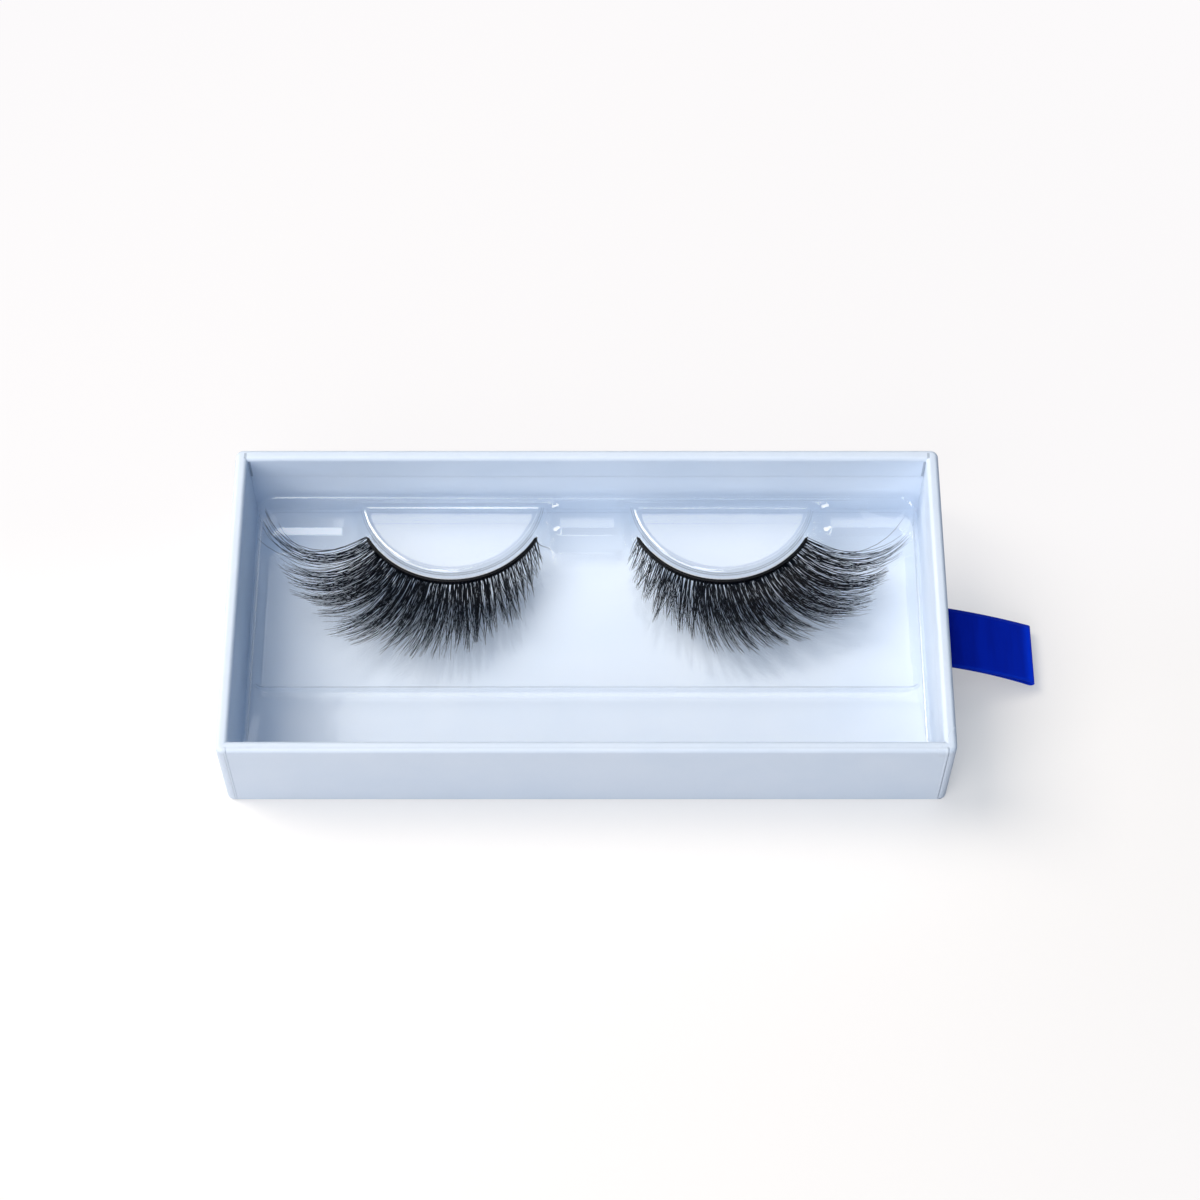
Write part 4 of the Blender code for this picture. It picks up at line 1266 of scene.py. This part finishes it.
lash_tack = Finish("tack")
smear = lash_tack.noise(1500.0, 3.0)
lash_tack.dress(
    Base_Color=lash_tack.blend(smear, (0.62, 0.66, 0.72), (0.80, 0.84, 0.88)),
    Roughness=0.25 + smear * 0.25,
    Normal=lash_tack.bump(smear, 0.03 * MM, 0.6),
)

FINISH_OF_SLOT = {"greyboard": greyboard, "stay_tape": kraft_tape, "tack": lash_tack}
SLOTS = {
    "greyboard": ["board_base", "board_front", "board_back", "board_left", "board_right"],
    "stay_tape": [f"corner_stay_{end}_{side}" for end in ("front", "back") for side in ("left", "right")],
    "tack": ["tack_strip_left", "tack_strip_right"],
}
for slot_name, names in SLOTS.items():
    for name in names:
        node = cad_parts[name]
        node.data.materials.clear()
        node.data.materials.append(FINISH_OF_SLOT[slot_name].block)
print("finished", sum(len(names) for names in SLOTS.values()), "packed pieces")

# %% [markdown]
# ## Floor
#
# The drawer was photographed on a sheet so bright that only the shadow beside the drawer shows.
# A floor that only catches shadows would keep them too, but not the light that it throws back on the drawer.
# So the floor is a pale matt sheet that also shows a little of its own light to the camera.
# Further out it turns to plain white, and towards the back the plain white is painted light over the floor,
# which fades the drawer's shadow there.

# %% Floor
floor_mesh = bmesh.new()
bmesh.ops.create_grid(floor_mesh, x_segments=1, y_segments=1, size=3.0)
floor_data = bpy.data.meshes.new("floor")
floor_mesh.to_mesh(floor_data)
floor_mesh.free()
floor = bpy.data.objects.new("floor", floor_data)
bpy.context.scene.collection.objects.link(floor)

FLOOR_GLOW = 0.36
WHITE = (1.0, 1.0, 1.0)
PLAIN_WHITE = (0.973, 0.956, 0.965)
PLAIN_FROM = 78 * MM
PLAIN_TO = 170 * MM
# Painted light: how far the floor behind the drawer fades to plain white.
BEHIND_FROM = -8 * MM
BEHIND_TO = 26 * MM
BEHIND_SHARE = 0.82

floor_paint = Finish("floor_paint")
floor_paint.dress(Base_Color=(0.62, 0.60, 0.59), Roughness=0.9, Specular_IOR_Level=0.0)
seen = floor_paint.node("ShaderNodeLightPath", {}, {}, "Is Camera Ray")
glow = floor_paint.node("ShaderNodeEmission", {}, {"Color": WHITE, "Strength": seen * FLOOR_GLOW})
matt = Signal(floor_paint, floor_paint.shader.outputs[0])
both = floor_paint.node("ShaderNodeAddShader", {}, {0: matt, 1: glow})
white = floor_paint.node("ShaderNodeEmission", {}, {"Color": PLAIN_WHITE, "Strength": 1.0})
outside = (floor_paint.along(0) ** 2 + floor_paint.along(1) ** 2).steps(PLAIN_FROM ** 2, PLAIN_TO ** 2)
# Painted light: towards the back the floor turns to plain white, over the drawer's shadow.
painted_light_behind = floor_paint.along(1).steps(BEHIND_FROM, BEHIND_TO) * BEHIND_SHARE
far = (1 - (1 - outside) * (1 - painted_light_behind)) * seen
faded = floor_paint.node("ShaderNodeMixShader", {}, {0: far, 1: both, 2: white})
floor_paint.fill(floor_paint.output.inputs["Surface"], faded)
floor.data.materials.append(floor_paint.block)

# %% [markdown]
# ## Lamps
#
# A small product is lit with soft boxes, and the shine of its clear sheet is a picture of those boxes.
# A photographed sky could light it in one step, but its shadows and mirrored shapes couldn't be placed.
# The key box hangs to the left and a little behind, and throws the shadow of the left wall inside.
# A wide box low at the front lights the front wall.
# A small card high behind is what the level parts of the clear sheet mirror, except at its left end.
# Two small strips overhead draw the bright lines on the bends of the clear sheet, and add little light.

# %% Lamps
LAMP_DISTANCE = 1.1


def soft_box(name, direction, width, height, radiance, colour):
    """A rectangular lamp that looks at the drawer. Its radiance is how bright its face is."""
    data = bpy.data.lights.new(name, "AREA")
    data.shape = "RECTANGLE"
    data.size = width
    data.size_y = height
    data.energy = radiance * math.pi * width * height
    data.color = colour
    lamp = bpy.data.objects.new(name, data)
    aim = Vector(direction).normalized()
    lamp.location = aim * LAMP_DISTANCE
    lamp.rotation_euler = aim.to_track_quat("Z", "Y").to_euler()
    bpy.context.scene.collection.objects.link(lamp)


soft_box("key_box", (-0.6, 0.24, 0.8), 0.5, 0.8, 8.1, (1.0, 0.91, 0.79))
soft_box("front_box", (-0.45, -0.72, 0.48), 1.3, 0.8, 2.6, (1.0, 0.97, 0.94))
soft_box("card", (0.025, 0.53, 0.87), 0.335, 0.36, 1.6, (1.0, 0.97, 0.94))
soft_box("left_strip", (-0.165, -0.4, 0.9), 0.2, 0.55, 3.6, WHITE)
soft_box("top_strip", (0.02, -0.12, 1.0), 0.22, 0.14, 3.4, WHITE)

# %% [markdown]
# ## Sky
#
# Round a lit table the room is dark, and its walls throw back a little blue light.
# One colour for all of it would either grey the background or wash out the shadows.
# So the sky is white where the camera sees it, less than half as bright where a surface mirrors it,
# and a dim blue where it lights the paper.

# %% Sky
SKY_SHARES = (("Is Camera Ray", 1.0), ("Is Transmission Ray", 1.0), ("Is Glossy Ray", 0.4))
SKY_WHITE = (0.97, 0.96, 0.97)
SKY_BLUE = (0.03, 0.09, 0.17)

studio = Finish("studio", bpy.data.worlds, "Background", "World Output")
shown = 0.0
for ray, share in SKY_SHARES:
    shown = studio.node("ShaderNodeLightPath", {}, {}, ray) * share + shown
studio.dress(Color=studio.blend(shown.clamp(), SKY_BLUE, SKY_WHITE))
bpy.context.scene.world = studio.block

# %% [markdown]
# ## Last update
#
# The finished pieces have to fill the same box as the imported shapes, or they would touch what they shouldn't.
# Here the scene is only brought up to date, so that every finished piece stands where it was placed.

# %% Update the scene
bpy.context.view_layer.update()
